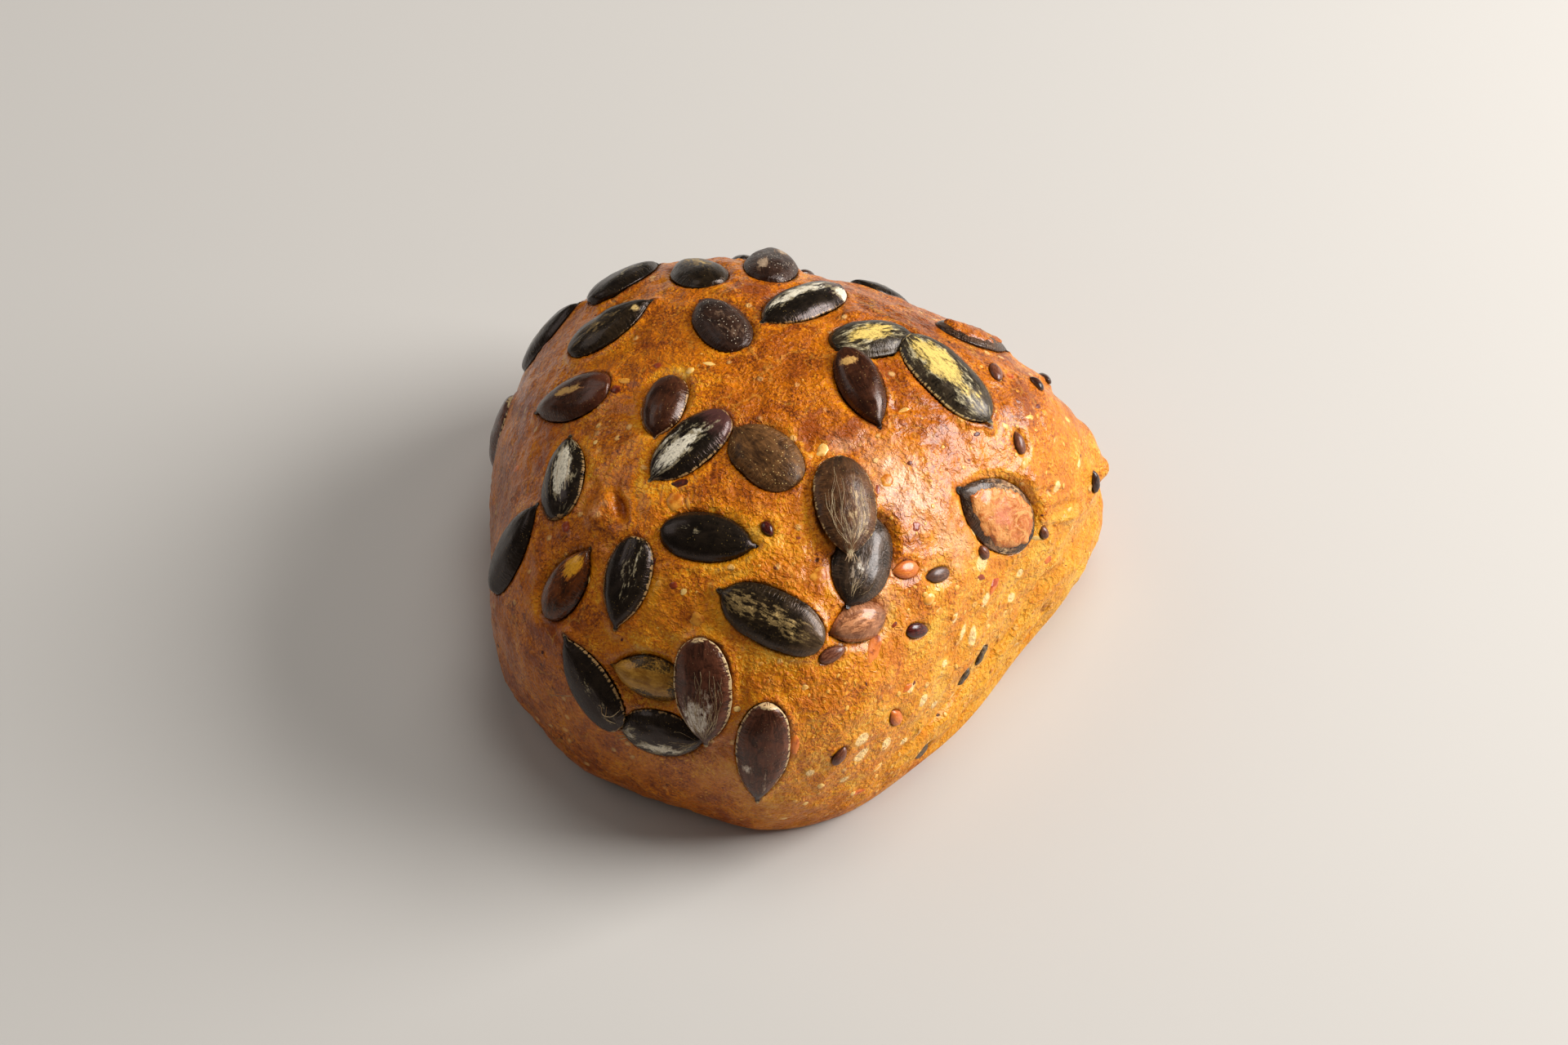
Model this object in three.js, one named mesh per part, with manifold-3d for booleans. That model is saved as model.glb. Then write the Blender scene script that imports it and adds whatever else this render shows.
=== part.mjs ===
// A bread roll with pumpkin seeds and linseeds baked into its crust. Millimetres, +Z up: it stands
// on its flat base at z = 0, with +X to its pointed corner and -Y to its blunt front corner.
import * as THREE from 'three';
import { mergeVertices } from 'three/addons/utils/BufferGeometryUtils.js';
import Module from 'manifold-3d';

const wasm = await Module();
wasm.setup();
const { degToRad, euclideanModulo, lerp, mapLinear } = THREE.MathUtils;
const quarterTurn = Math.PI / 2;
const fullTurn = 2 * Math.PI;

// The roll
const rollHeight = 47;
const waistHeight = 12; // height of the widest level
const outline = [ // plan of the waist, anticlockwise from the pointed corner
  [47.8, 13.6], [41.5, 24], [27, 34], [6, 43], [-15, 47], [-33.5, 38.5], [-42.5, 18], [-43, -2],
  [-41, -19], [-30, -33], [-14, -40.5], [-2.5, -43.8], [9, -40.2], [22, -27.2], [34, -12], [44, 1],
];
const crown = { x: -3, y: 4 }; // the highest point, off the middle as hand-shaped dough is
const crownRadius = 43; // each level's outline grows rounder towards a circle of this size
const crownRoundness = 0.5;
const outwardPower = 2.35; // the dome is a superellipse, fuller than a globe
const upwardPower = 2.1;
const footShare = 0.88; // how far the base reaches under the waist
const uprightSide = { bearing: -38, share: 0.12, sharpness: 4 }; // its foot reaches out to the waist
const bearings = 60;
const footRings = 4;
const domeRings = 18;
const waistSamples = 1440;

// The pieces stuck on it
const pocketGap = 0.3; // between a piece and the pocket that it pressed into the crust
const seedSides = 8;
const pumpkinSeed = {
  profile: [[0, 0], [0.06, 0.46], [0.22, 0.85], [0.45, 1], [0.7, 0.8], [0.88, 0.43], [1, 0]],
  thick: 2.8,
  sink: 0.35, // how deep its middle lies under the crust
};
const linseed = {
  profile: [[0, 0], [0.18, 0.75], [0.45, 1], [0.78, 0.6], [1, 0]],
  thick: 1.1,
  sink: 0.1,
};
const huskFlake = { thick: 0.5, bow: 0.2, sink: 0 };

const skin = (color, roughness) => new THREE.MeshStandardMaterial({ color, roughness, metalness: 0 });
const crust = skin(0xb86a1e, 0.4);
const dark = skin(0x2b241c, 0.35);
const brown = skin(0x5e3a24, 0.35);
const pale = skin(0xb99a50, 0.5);
const filmed = skin(0x8c5a2c, 0.45); // a film of crust covers it
const linseedSkin = skin(0x5a2a18, 0.25);
const husk = skin(0x1c150f, 0.7);

// Each piece lies at a bearing round the roll and a lift up its side, in degrees: lift is 0 at the
// waist and 90 at the crown. turn is where its tip points: 0 uphill, 90 anticlockwise round the
// roll. Then come its length, width and skin. rise takes it out of the crust, tipUp tips its tip
// up, and rollUp rolls its left edge up.
const pumpkinSeeds = [
  [125, 41, -104, 14, 8, dark, { rise: 0.3 }],
  [142, 54, -58, 14.5, 8, dark],
  [112, 53, 175, 13.5, 8, dark],
  [92, 49, 180, 14.5, 8, brown, { rise: 0.9, tipUp: 8 }],
  [118, 75, 180, 13.5, 7.5, brown],
  [78, 67, 27, 17, 8, dark],
  [39, 69, -172, 13.5, 8.2, pale],
  [14, 61, -128, 18, 9, pale],
  [3, 76, -115, 14, 6.4, brown, { rise: 0.4, tipUp: -4, rollUp: 8 }],
  [36, 43, -162, 13, 7.5, filmed, { rise: -0.1 }],
  [168, 50, -177, 14.5, 8, brown],
  [187, 73, 116, 11, 6.5, brown],
  [219, 74, -176, 15, 7.4, dark],
  [267, 78, -43, 13, 8.6, brown],
  [193, 48, -67, 14, 8, dark],
  [299, 62, -155, 15.5, 9, brown, { rise: 0.9, tipUp: 6 }],
  [297, 50, -136, 14, 8.8, dark, { rise: -0.5, tipUp: 5, rollUp: 4 }],
  [248, 60, 86, 14, 7, dark],
  [197, 28, -8, 16, 8, dark],
  [216, 37, 2, 12.5, 7, filmed, { rise: -0.6 }],
  [230, 45, 168, 13.5, 7, dark],
  [268, 47, -61, 16.5, 7.8, dark],
  [230, 20, -49, 15.5, 7.5, dark],
  [241, 27, -93, 11, 6.5, pale, { rise: -0.6 }],
  [247, 14, 78, 13, 8, dark],
  [254, 28, 171, 16, 8.5, brown, { rise: 0.8 }],
  [266, 15, -175, 17.5, 8.5, brown],
  [345, 34, -18, 17, 10, filmed, { rise: -0.7 }],
  [290, 39, -89, 9.5, 5.6, filmed, { rise: -0.6 }],
  [48, 14, 150, 15, 8, dark],
  [66, 27, -150, 14.5, 8, brown],
  [84, 10, 60, 15.5, 8.5, dark],
  [97, 25, 10, 14, 7.5, brown],
  [117, 13, 110, 15, 8, dark],
  [139, 24, -35, 14.5, 8, pale],
  [157, 9, 170, 15, 8.5, dark],
];
const linseeds = [
  [2, 42, 50, 3.4, 1.9, linseedSkin],
  [318, 35, -63, 4.4, 2.2, linseedSkin],
  [306, 27, 122, 4.4, 2.3, linseedSkin],
  [282, 36, 79, 4.2, 2.2, linseedSkin],
  [268, 64, 150, 2.4, 1.6, linseedSkin],
  [281, 10, 38, 3.2, 2, linseedSkin],
  [295, 10, -21, 3.6, 2.1, linseedSkin],
  [309, 42, -68, 4.4, 2.6, filmed],
  [9, 13, 20, 3.8, 2, linseedSkin],
  [335, 29, 172, 2.6, 1.6, linseedSkin],
  [352, 19, -178, 2.4, 1.5, linseedSkin],
  [20, 50, 102, 4, 2.1, linseedSkin],
  [20, 39, 62, 2.8, 1.8, linseedSkin],
  [84, 36, 15, 4.2, 2.2, linseedSkin],
  [128, 31, -80, 4, 2.1, linseedSkin],
  [30, 22, 130, 4.2, 2.2, linseedSkin],
];
const huskFlakes = [
  [326, 2, 52, 3.3, 1.4, husk],
  [319, 1, 64, 3, 1.2, husk],
  [304, -42, 70, 3, 1.6, husk],
];

// The waist is a closed curve through the outline, kept as radii at angles from its first point
const waistCurve = new THREE.CatmullRomCurve3(
  outline.map(([x, y]) => new THREE.Vector3(x, y, 0)), true, 'centripetal');
const firstAngle = Math.atan2(outline[0][1], outline[0][0]);
const waist = waistCurve.getPoints(waistSamples).map((point) => ({
  angle: euclideanModulo(Math.atan2(point.y, point.x) - firstAngle, fullTurn),
  radius: point.length(),
}));
waist[0].angle = 0;
waist[waistSamples].angle = fullTurn;

function waistRadius(bearing) {
  const angle = euclideanModulo(bearing - firstAngle, fullTurn);
  const next = Math.max(1, waist.findIndex((point) => point.angle >= angle));
  const [before, after] = [waist[next - 1], waist[next]];
  return mapLinear(angle, before.angle, after.angle, before.radius, after.radius);
}

// Below the waist the side tucks in to the foot, where lift is -90 degrees
function footPoint(bearing, lift) {
  const facing = Math.max(0, Math.cos(bearing - degToRad(uprightSide.bearing)));
  const share = footShare + uprightSide.share * facing ** uprightSide.sharpness;
  const radius = waistRadius(bearing) * lerp(share, 1, Math.cos(lift));
  const height = waistHeight * (1 + Math.sin(lift));
  return new THREE.Vector3(radius * Math.cos(bearing), radius * Math.sin(bearing), height);
}

// Above it the dome closes over to the crown
function domePoint(bearing, lift) {
  const reach = Math.max(0, Math.cos(lift)) ** (2 / outwardPower);
  const inward = 1 - reach;
  const radius = reach * lerp(waistRadius(bearing), crownRadius, crownRoundness * inward);
  const height = lerp(waistHeight, rollHeight, Math.sin(lift) ** (2 / upwardPower));
  const x = crown.x * inward + radius * Math.cos(bearing);
  const y = crown.y * inward + radius * Math.sin(bearing);
  return new THREE.Vector3(x, y, height);
}

function crustPoint(bearing, lift) {
  return lift < 0 ? footPoint(bearing, lift) : domePoint(bearing, lift);
}

// A globe's rows become the roll's levels: its bottom pole is the middle of the base
function rollGeometry() {
  const rows = 1 + footRings + domeRings;
  const globe = new THREE.SphereGeometry(1, bearings, rows);
  const { position, uv } = globe.attributes;
  for (let i = 0; i < position.count; i += 1) {
    const bearing = (fullTurn * ((i % (bearings + 1)) % bearings)) / bearings;
    const row = Math.round(rows * uv.getY(i));
    const aboveWaist = row - 1 - footRings;
    const lift = (quarterTurn * aboveWaist) / (aboveWaist < 0 ? footRings : domeRings);
    const point = row === 0 ? new THREE.Vector3() : crustPoint(bearing, lift);
    position.setXYZ(i, point.x, point.y, point.z);
  }
  return globe;
}

// Turned about its long axis, Y, with its tip at +Y, then pressed flat along Z
function seedGeometry({ profile, thick }, length, width, gap) {
  const fullLength = length + 2 * gap;
  const fullWidth = width + 2 * gap;
  const points = profile.map(([along, out]) => (
    new THREE.Vector2((out * fullWidth) / 2, (along - 0.5) * fullLength)));
  const turned = new THREE.LatheGeometry(points, seedSides);
  return turned.scale(1, 1, (thick + 2 * gap) / fullWidth);
}

// A thin flake, a little bowed along its length
function flakeGeometry({ thick, bow }, length, width, gap) {
  const flake = new THREE.BoxGeometry(width + 2 * gap, length + 2 * gap, thick + 2 * gap, 1, 4, 1);
  const { position } = flake.attributes;
  for (let i = 0; i < position.count; i += 1) {
    const along = (2 * position.getY(i)) / length;
    position.setZ(i, position.getZ(i) - bow * along ** 2);
  }
  return flake;
}

// A spot on the crust: its Z points out of the crust and its Y uphill
function crustSpot(bearing, lift) {
  const step = 0.01;
  const round = crustPoint(bearing + step, lift).sub(crustPoint(bearing - step, lift));
  const climb = crustPoint(bearing, lift + step).sub(crustPoint(bearing, lift - step));
  const out = new THREE.Vector3().crossVectors(round, climb).normalize();
  const uphill = climb.addScaledVector(out, -climb.dot(out)).normalize();
  const across = new THREE.Vector3().crossVectors(uphill, out);
  return new THREE.Matrix4().makeBasis(across, uphill, out).setPosition(crustPoint(bearing, lift));
}

// X of the spot runs anticlockwise round the roll, so a clockwise turn about Z points the tip there
function laidOnCrust([bearing, lift, turn], { rise = 0, tipUp = 0, rollUp = 0 }, sink) {
  const raise = new THREE.Matrix4().makeTranslation(0, 0, rise - sink);
  const swing = new THREE.Matrix4().makeRotationZ(-degToRad(turn));
  const tilt = new THREE.Matrix4().makeRotationFromEuler(
    new THREE.Euler(degToRad(tipUp), degToRad(rollUp), 0));
  return crustSpot(degToRad(bearing), degToRad(lift)).multiply(raise).multiply(swing).multiply(tilt);
}

function toSolid(geometry) {
  const bare = geometry.clone();
  bare.deleteAttribute('normal');
  bare.deleteAttribute('uv');
  const merged = mergeVertices(bare);
  const corners = merged.index.array;
  const faces = [];
  for (let i = 0; i < corners.length; i += 3) {
    const [a, b, c] = corners.slice(i, i + 3);
    if (a !== b && b !== c && c !== a) {
      faces.push(a, b, c); // a lathe's poles leave faces with two corners in one place
    }
  }
  return new wasm.Manifold(new wasm.Mesh({
    numProp: 3,
    vertProperties: merged.attributes.position.array,
    triVerts: new Uint32Array(faces),
  }));
}

function toGeometry(solid) {
  const { vertProperties, triVerts } = solid.getMesh();
  const geometry = new THREE.BufferGeometry();
  geometry.setAttribute('position', new THREE.BufferAttribute(vertProperties, 3));
  geometry.setIndex(new THREE.BufferAttribute(triVerts, 1));
  geometry.computeVertexNormals();
  return geometry;
}

// One kind of piece: each one's mesh, and the slightly larger solid that presses its pocket
function stuckOn(name, kind, spots, shape) {
  return spots.map(([bearing, lift, turn, length, width, material, lie = {}], index) => {
    const place = laidOnCrust([bearing, lift, turn], lie, kind.sink);
    const mesh = new THREE.Mesh(toGeometry(toSolid(shape(kind, length, width, 0))), material);
    mesh.name = `${name}_${String(index + 1).padStart(2, '0')}`;
    mesh.position.setFromMatrixPosition(place);
    mesh.quaternion.setFromRotationMatrix(place);
    return { mesh, pocket: toSolid(shape(kind, length, width, pocketGap).applyMatrix4(place)) };
  });
}

const pieces = [
  ...stuckOn('pumpkin_seed', pumpkinSeed, pumpkinSeeds, seedGeometry),
  ...stuckOn('linseed', linseed, linseeds, seedGeometry),
  ...stuckOn('husk_flake', huskFlake, huskFlakes, flakeGeometry),
];

const pressedRoll = pieces.reduce((solid, { pocket }) => solid.subtract(pocket), toSolid(rollGeometry()));
const roll = new THREE.Mesh(toGeometry(pressedRoll), crust);
roll.name = 'roll';

const breadRoll = new THREE.Group();
breadRoll.add(roll, ...pieces.map(({ mesh }) => mesh));

export default breadRoll;
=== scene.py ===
import math
import random

import bpy
import numpy as np
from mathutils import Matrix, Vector, noise
from mathutils.bvhtree import BVHTree


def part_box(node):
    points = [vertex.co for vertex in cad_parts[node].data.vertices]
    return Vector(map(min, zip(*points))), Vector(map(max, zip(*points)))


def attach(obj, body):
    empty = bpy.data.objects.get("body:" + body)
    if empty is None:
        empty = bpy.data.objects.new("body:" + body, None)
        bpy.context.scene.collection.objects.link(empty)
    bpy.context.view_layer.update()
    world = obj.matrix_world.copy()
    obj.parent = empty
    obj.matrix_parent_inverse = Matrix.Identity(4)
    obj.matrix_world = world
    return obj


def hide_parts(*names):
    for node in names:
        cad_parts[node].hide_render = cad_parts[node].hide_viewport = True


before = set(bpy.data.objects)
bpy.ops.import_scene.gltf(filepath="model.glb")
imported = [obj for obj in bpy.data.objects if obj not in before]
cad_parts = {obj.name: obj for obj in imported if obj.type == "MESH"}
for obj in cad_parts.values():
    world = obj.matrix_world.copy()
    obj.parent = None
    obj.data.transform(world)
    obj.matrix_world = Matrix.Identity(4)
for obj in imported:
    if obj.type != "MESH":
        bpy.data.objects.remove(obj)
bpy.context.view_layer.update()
mm = 0.001


def rgb(red, green, blue):  # screen colour, 0 to 255, to the linear colour that the shader wants
    return tuple((c / 255 / 12.92) if c < 11 else ((c / 255 + 0.055) / 1.055) ** 2.4
                 for c in (red, green, blue)) + (1,)


# shader helpers: put() adds a node and links or sets its inputs
def put(tree, kind, settings=None, inputs=None):
    made = tree.nodes.new(kind)
    for key, value in (settings or {}).items():
        setattr(made, key, value)
    for key, value in (inputs or {}).items():
        if isinstance(value, bpy.types.NodeSocket):
            tree.links.new(value, made.inputs[key])
        else:
            made.inputs[key].default_value = value
    return made


def sums(tree, operation, a, b=0.0, clamp=False):
    made = put(tree, "ShaderNodeMath", {"operation": operation, "use_clamp": clamp}, {0: a, 1: b})
    return made.outputs[0]


def product(tree, a, b):
    return sums(tree, "MULTIPLY", a, b)


def added(tree, a, b, clamp=False):
    return sums(tree, "ADD", a, b, clamp)


def stretch(tree, value, low, high, newLow=0.0, newHigh=1.0):  # smooth step between low and high
    made = put(tree, "ShaderNodeMapRange", {"interpolation_type": "SMOOTHSTEP"},
               {"Value": value, "From Min": low, "From Max": high, "To Min": newLow, "To Max": newHigh})
    return made.outputs["Result"]


def blend(tree, amount, a, b):
    made = put(tree, "ShaderNodeMix", {"data_type": "RGBA"}, {0: amount, 6: a, 7: b})
    return made.outputs[2]


def ramp(tree, value, stops):
    made = put(tree, "ShaderNodeValToRGB", None, {"Fac": value})
    while len(made.color_ramp.elements) < len(stops):
        made.color_ramp.elements.new(0.5)
    for element, (place, colour) in zip(made.color_ramp.elements, stops):
        element.position = place
        element.color = colour
    return made.outputs["Color"]


# size is in the vector's own units
def noiseAt(tree, vector, size, detail=2.0, roughness=0.5, distortion=0.0):
    made = put(tree, "ShaderNodeTexNoise", None, {
        "Vector": vector, "Scale": 1 / size, "Detail": detail, "Roughness": roughness,
        "Distortion": distortion})
    return made.outputs["Fac"]


def cellsAt(tree, vector, size, feature="F1"):
    return put(tree, "ShaderNodeTexVoronoi", {"feature": feature}, {"Vector": vector, "Scale": 1 / size})


def picked(tree, cells, channel):  # one number for each cell
    return put(tree, "ShaderNodeSeparateColor", None, {"Color": cells.outputs["Color"]}).outputs[channel]


def times(tree, vector, factors):
    made = put(tree, "ShaderNodeVectorMath", {"operation": "MULTIPLY"}, {0: vector, 1: factors})
    return made.outputs[0]


def newGroup(name, inputs, outputs):
    tree = bpy.data.node_groups.new(name, "ShaderNodeTree")
    for label, kind, default in inputs:
        socket = tree.interface.new_socket(label, in_out="INPUT", socket_type=kind)
        if default is not None:
            socket.default_value = default
    for label, kind in outputs:
        tree.interface.new_socket(label, in_out="OUTPUT", socket_type=kind)
    return tree, tree.nodes.new("NodeGroupInput"), tree.nodes.new("NodeGroupOutput")


def useGroup(tree, group, inputs):
    made = tree.nodes.new("ShaderNodeGroup")
    made.node_tree = group
    for key, value in inputs.items():
        if isinstance(value, bpy.types.NodeSocket):
            tree.links.new(value, made.inputs[key])
        else:
            made.inputs[key].default_value = value
    return made.outputs


def newMaterial(name):
    material = bpy.data.materials.new(name)
    material.use_nodes = True
    tree = material.node_tree
    tree.nodes.clear()
    shader = tree.nodes.new("ShaderNodeBsdfPrincipled")
    out = tree.nodes.new("ShaderNodeOutputMaterial")
    tree.links.new(shader.outputs[0], out.inputs["Surface"])
    return material, tree, shader


def setShader(shader, values):
    for key, value in values.items():
        shader.inputs[key].default_value = value


def objectMm(tree):  # the piece's own place, in millimetres
    return times(tree, put(tree, "ShaderNodeTexCoord").outputs["Object"], (1 / mm,) * 3)


def painted(tree, name):
    split = put(tree, "ShaderNodeSeparateColor", None, {
        "Color": put(tree, "ShaderNodeAttribute", {"attribute_name": name}).outputs["Color"]})
    return split.outputs[0], split.outputs[1], split.outputs[2]


# effects that several materials share
def makeGrain():  # the fine, blistered grain of baked dough
    tree, given, out = newGroup("bakedGrain", [("Vector", "NodeSocketVector", None)], [
        ("Speckle", "NodeSocketFloat"), ("Mottle", "NodeSocketFloat"), ("Veins", "NodeSocketFloat"),
        ("Pale Dots", "NodeSocketFloat"), ("Dark Dots", "NodeSocketFloat"), ("Height", "NodeSocketFloat")])
    vector = given.outputs["Vector"]
    warp = put(tree, "ShaderNodeTexNoise", None, {
        "Vector": vector, "Scale": 0.5, "Detail": 3.0}).outputs["Color"]
    bent = put(tree, "ShaderNodeVectorMath", {"operation": "ADD"}, {
        0: vector, 1: times(tree, warp, (0.7,) * 3)})
    bent = bent.outputs[0]
    pimples = cellsAt(tree, bent, 0.7, "SMOOTH_F1").outputs["Distance"]
    speckle = noiseAt(tree, bent, 0.42, 3.0, 0.68)
    mottle = noiseAt(tree, bent, 2.4, 3.0, 0.58)
    sway = put(tree, "ShaderNodeTexNoise", None, {
        "Vector": vector, "Scale": 0.28, "Detail": 4.0}).outputs["Color"]
    swayed = put(tree, "ShaderNodeVectorMath", {"operation": "ADD"}, {
        0: vector, 1: times(tree, sway, (7.0,) * 3)})
    edges = cellsAt(tree, swayed.outputs[0], 6.5, "DISTANCE_TO_EDGE").outputs["Distance"]
    veins = product(tree, stretch(tree, edges, 0.05, 0.0), stretch(tree, mottle, 0.42, 0.6))
    dots = cellsAt(tree, bent, 2.3)
    chosen = stretch(tree, picked(tree, dots, 0), 0.6, 0.66)
    pale = product(tree, stretch(tree, dots.outputs["Distance"], 0.27, 0.13), chosen)
    pale = product(tree, pale, stretch(tree, noiseAt(tree, vector, 7.0, 2.0), 0.44, 0.58))
    pits = cellsAt(tree, bent, 4.4)
    few = stretch(tree, picked(tree, pits, 1), 0.78, 0.8)
    dark = product(tree, stretch(tree, pits.outputs["Distance"], 0.085, 0.045), few)
    height = added(tree, stretch(tree, pimples, 0.8, 0.05, 0.0, 0.5), product(tree, speckle, 0.5))
    height = added(tree, height, product(tree, mottle, 1.0))
    height = added(tree, height, product(tree, pale, 0.5))
    height = sums(tree, "SUBTRACT", height, product(tree, dark, 0.6))
    folds = sums(tree, "ABSOLUTE", sums(tree, "SUBTRACT", noiseAt(tree, bent, 1.15, 2.0, 0.55), 0.5))
    height = added(tree, height, stretch(tree, folds, 0.09, 0.0, 0.0, 0.3))
    for label, value in (("Speckle", speckle), ("Mottle", mottle), ("Veins", veins), ("Pale Dots", pale),
                         ("Dark Dots", dark), ("Height", height)):
        tree.links.new(value, out.inputs[label])
    return tree


def makeFibres():  # lines that run along a seed and gather at its tip, dust and the ribs of its rim
    tree, given, out = newGroup("seedFibres", [
        ("Flow", "NodeSocketVector", None), ("Place", "NodeSocketVector", None)], [
        ("Streaks", "NodeSocketFloat"), ("Mottle", "NodeSocketFloat"), ("Dust", "NodeSocketFloat"),
        ("Ribs", "NodeSocketFloat"), ("Height", "NodeSocketFloat")])
    flow, place = given.outputs["Flow"], given.outputs["Place"]
    warp = put(tree, "ShaderNodeTexNoise", None, {
        "Vector": place, "Scale": 0.4, "Detail": 2.0}).outputs["Color"]
    bent = put(tree, "ShaderNodeVectorMath", {"operation": "ADD"}, {
        0: flow, 1: times(tree, warp, (1.5,) * 3)})
    bent = bent.outputs[0]
    streaks = noiseAt(tree, times(tree, bent, (0.2, 1.0, 1.0)), 0.45, 3.0, 0.65)
    mottle = noiseAt(tree, place, 1.9, 4.0, 0.62, 0.5)
    specks = cellsAt(tree, place, 0.32)
    drifts = stretch(tree, noiseAt(tree, place, 3.6, 2.0), 0.36, 0.6)
    often = stretch(tree, drifts, 0.0, 1.0, 0.96, 0.62)
    chosen = stretch(tree, sums(tree, "SUBTRACT", picked(tree, specks, 0), often), 0.0, 0.04)
    dust = product(tree, stretch(tree, specks.outputs["Distance"], 0.28, 0.1), chosen)
    ribs = noiseAt(tree, times(tree, flow, (1.0, 0.22, 1.0)), 0.3, 1.0)
    fine = noiseAt(tree, place, 0.42, 3.0, 0.6)
    height = added(tree, product(tree, streaks, 0.8), product(tree, fine, 0.55))
    height = added(tree, height, product(tree, mottle, 0.8))
    for label, value in (("Streaks", streaks), ("Mottle", mottle), ("Dust", dust), ("Ribs", ribs),
                         ("Height", height)):
        tree.links.new(value, out.inputs[label])
    return tree


def makeBroken():  # breaks the soft edge of a painted patch into feathers and islands
    tree, given, out = newGroup("brokenPatch", [
        ("Vector", "NodeSocketVector", None), ("Patch", "NodeSocketFloat", 0.0),
        ("Crumb Size", "NodeSocketFloat", 0.5), ("Raggedness", "NodeSocketFloat", 0.8),
        ("Softness", "NodeSocketFloat", 0.2)], [("Mask", "NodeSocketFloat")])
    scaled = put(tree, "ShaderNodeVectorMath", {"operation": "DIVIDE"}, {0: given.outputs["Vector"]})
    size = put(tree, "ShaderNodeCombineXYZ", None, {k: given.outputs["Crumb Size"] for k in "XYZ"})
    tree.links.new(size.outputs[0], scaled.inputs[1])
    rough = noiseAt(tree, scaled.outputs[0], 1.6, 4.0, 0.68)
    swing = product(tree, sums(tree, "SUBTRACT", rough, 0.5), given.outputs["Raggedness"])
    edge = added(tree, given.outputs["Patch"], product(tree, swing, 3.0))
    high = added(tree, given.outputs["Softness"], 0.4)
    mask = product(tree, stretch(tree, edge, 0.4, high), stretch(tree, given.outputs["Patch"], 0.0, 0.22))
    tree.links.new(mask, out.inputs["Mask"])
    return tree


grainGroup = makeGrain()
fibreGroup = makeFibres()
brokenGroup = makeBroken()
print("shared effects made")


# materials
crustLook = {
    "pale": rgb(234, 172, 58), "golden": rgb(222, 142, 14), "orange": rgb(204, 112, 4),
    "amber": rgb(162, 80, 1), "dark": rgb(104, 44, 1), "dots": rgb(250, 206, 130), "pit": rgb(52, 22, 6),
    "cream": rgb(248, 206, 140),
    # the dark caramel colour also paints shade where seeds and film edges meet the crust
    "caramelShade": rgb(66, 26, 5), "redBrown": rgb(146, 64, 5), "film": rgb(220, 150, 84),
    # the rosy tint is a painted pinkish highlight where the window's sheen falls
    "pink": rgb(204, 116, 88), "filmDeep": rgb(184, 98, 38), "paintedSheen": rgb(248, 188, 142),
    "veins": rgb(236, 168, 60), "roughness": (0.34, 0.55), "bump": 1.0, "bumpHeight": 0.3,
    "glazeBump": 0.22, "specular": 0.18, "coatRoughness": 0.21,
    "clear": 0.1, "clearRadius": (1.0, 0.45, 0.12), "clearDepth": 1.0,
    "coatHeights": (4.0, 17.0), "coat": (0.04, 0.5),  # the brushed glaze fades out low down
}


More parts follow.
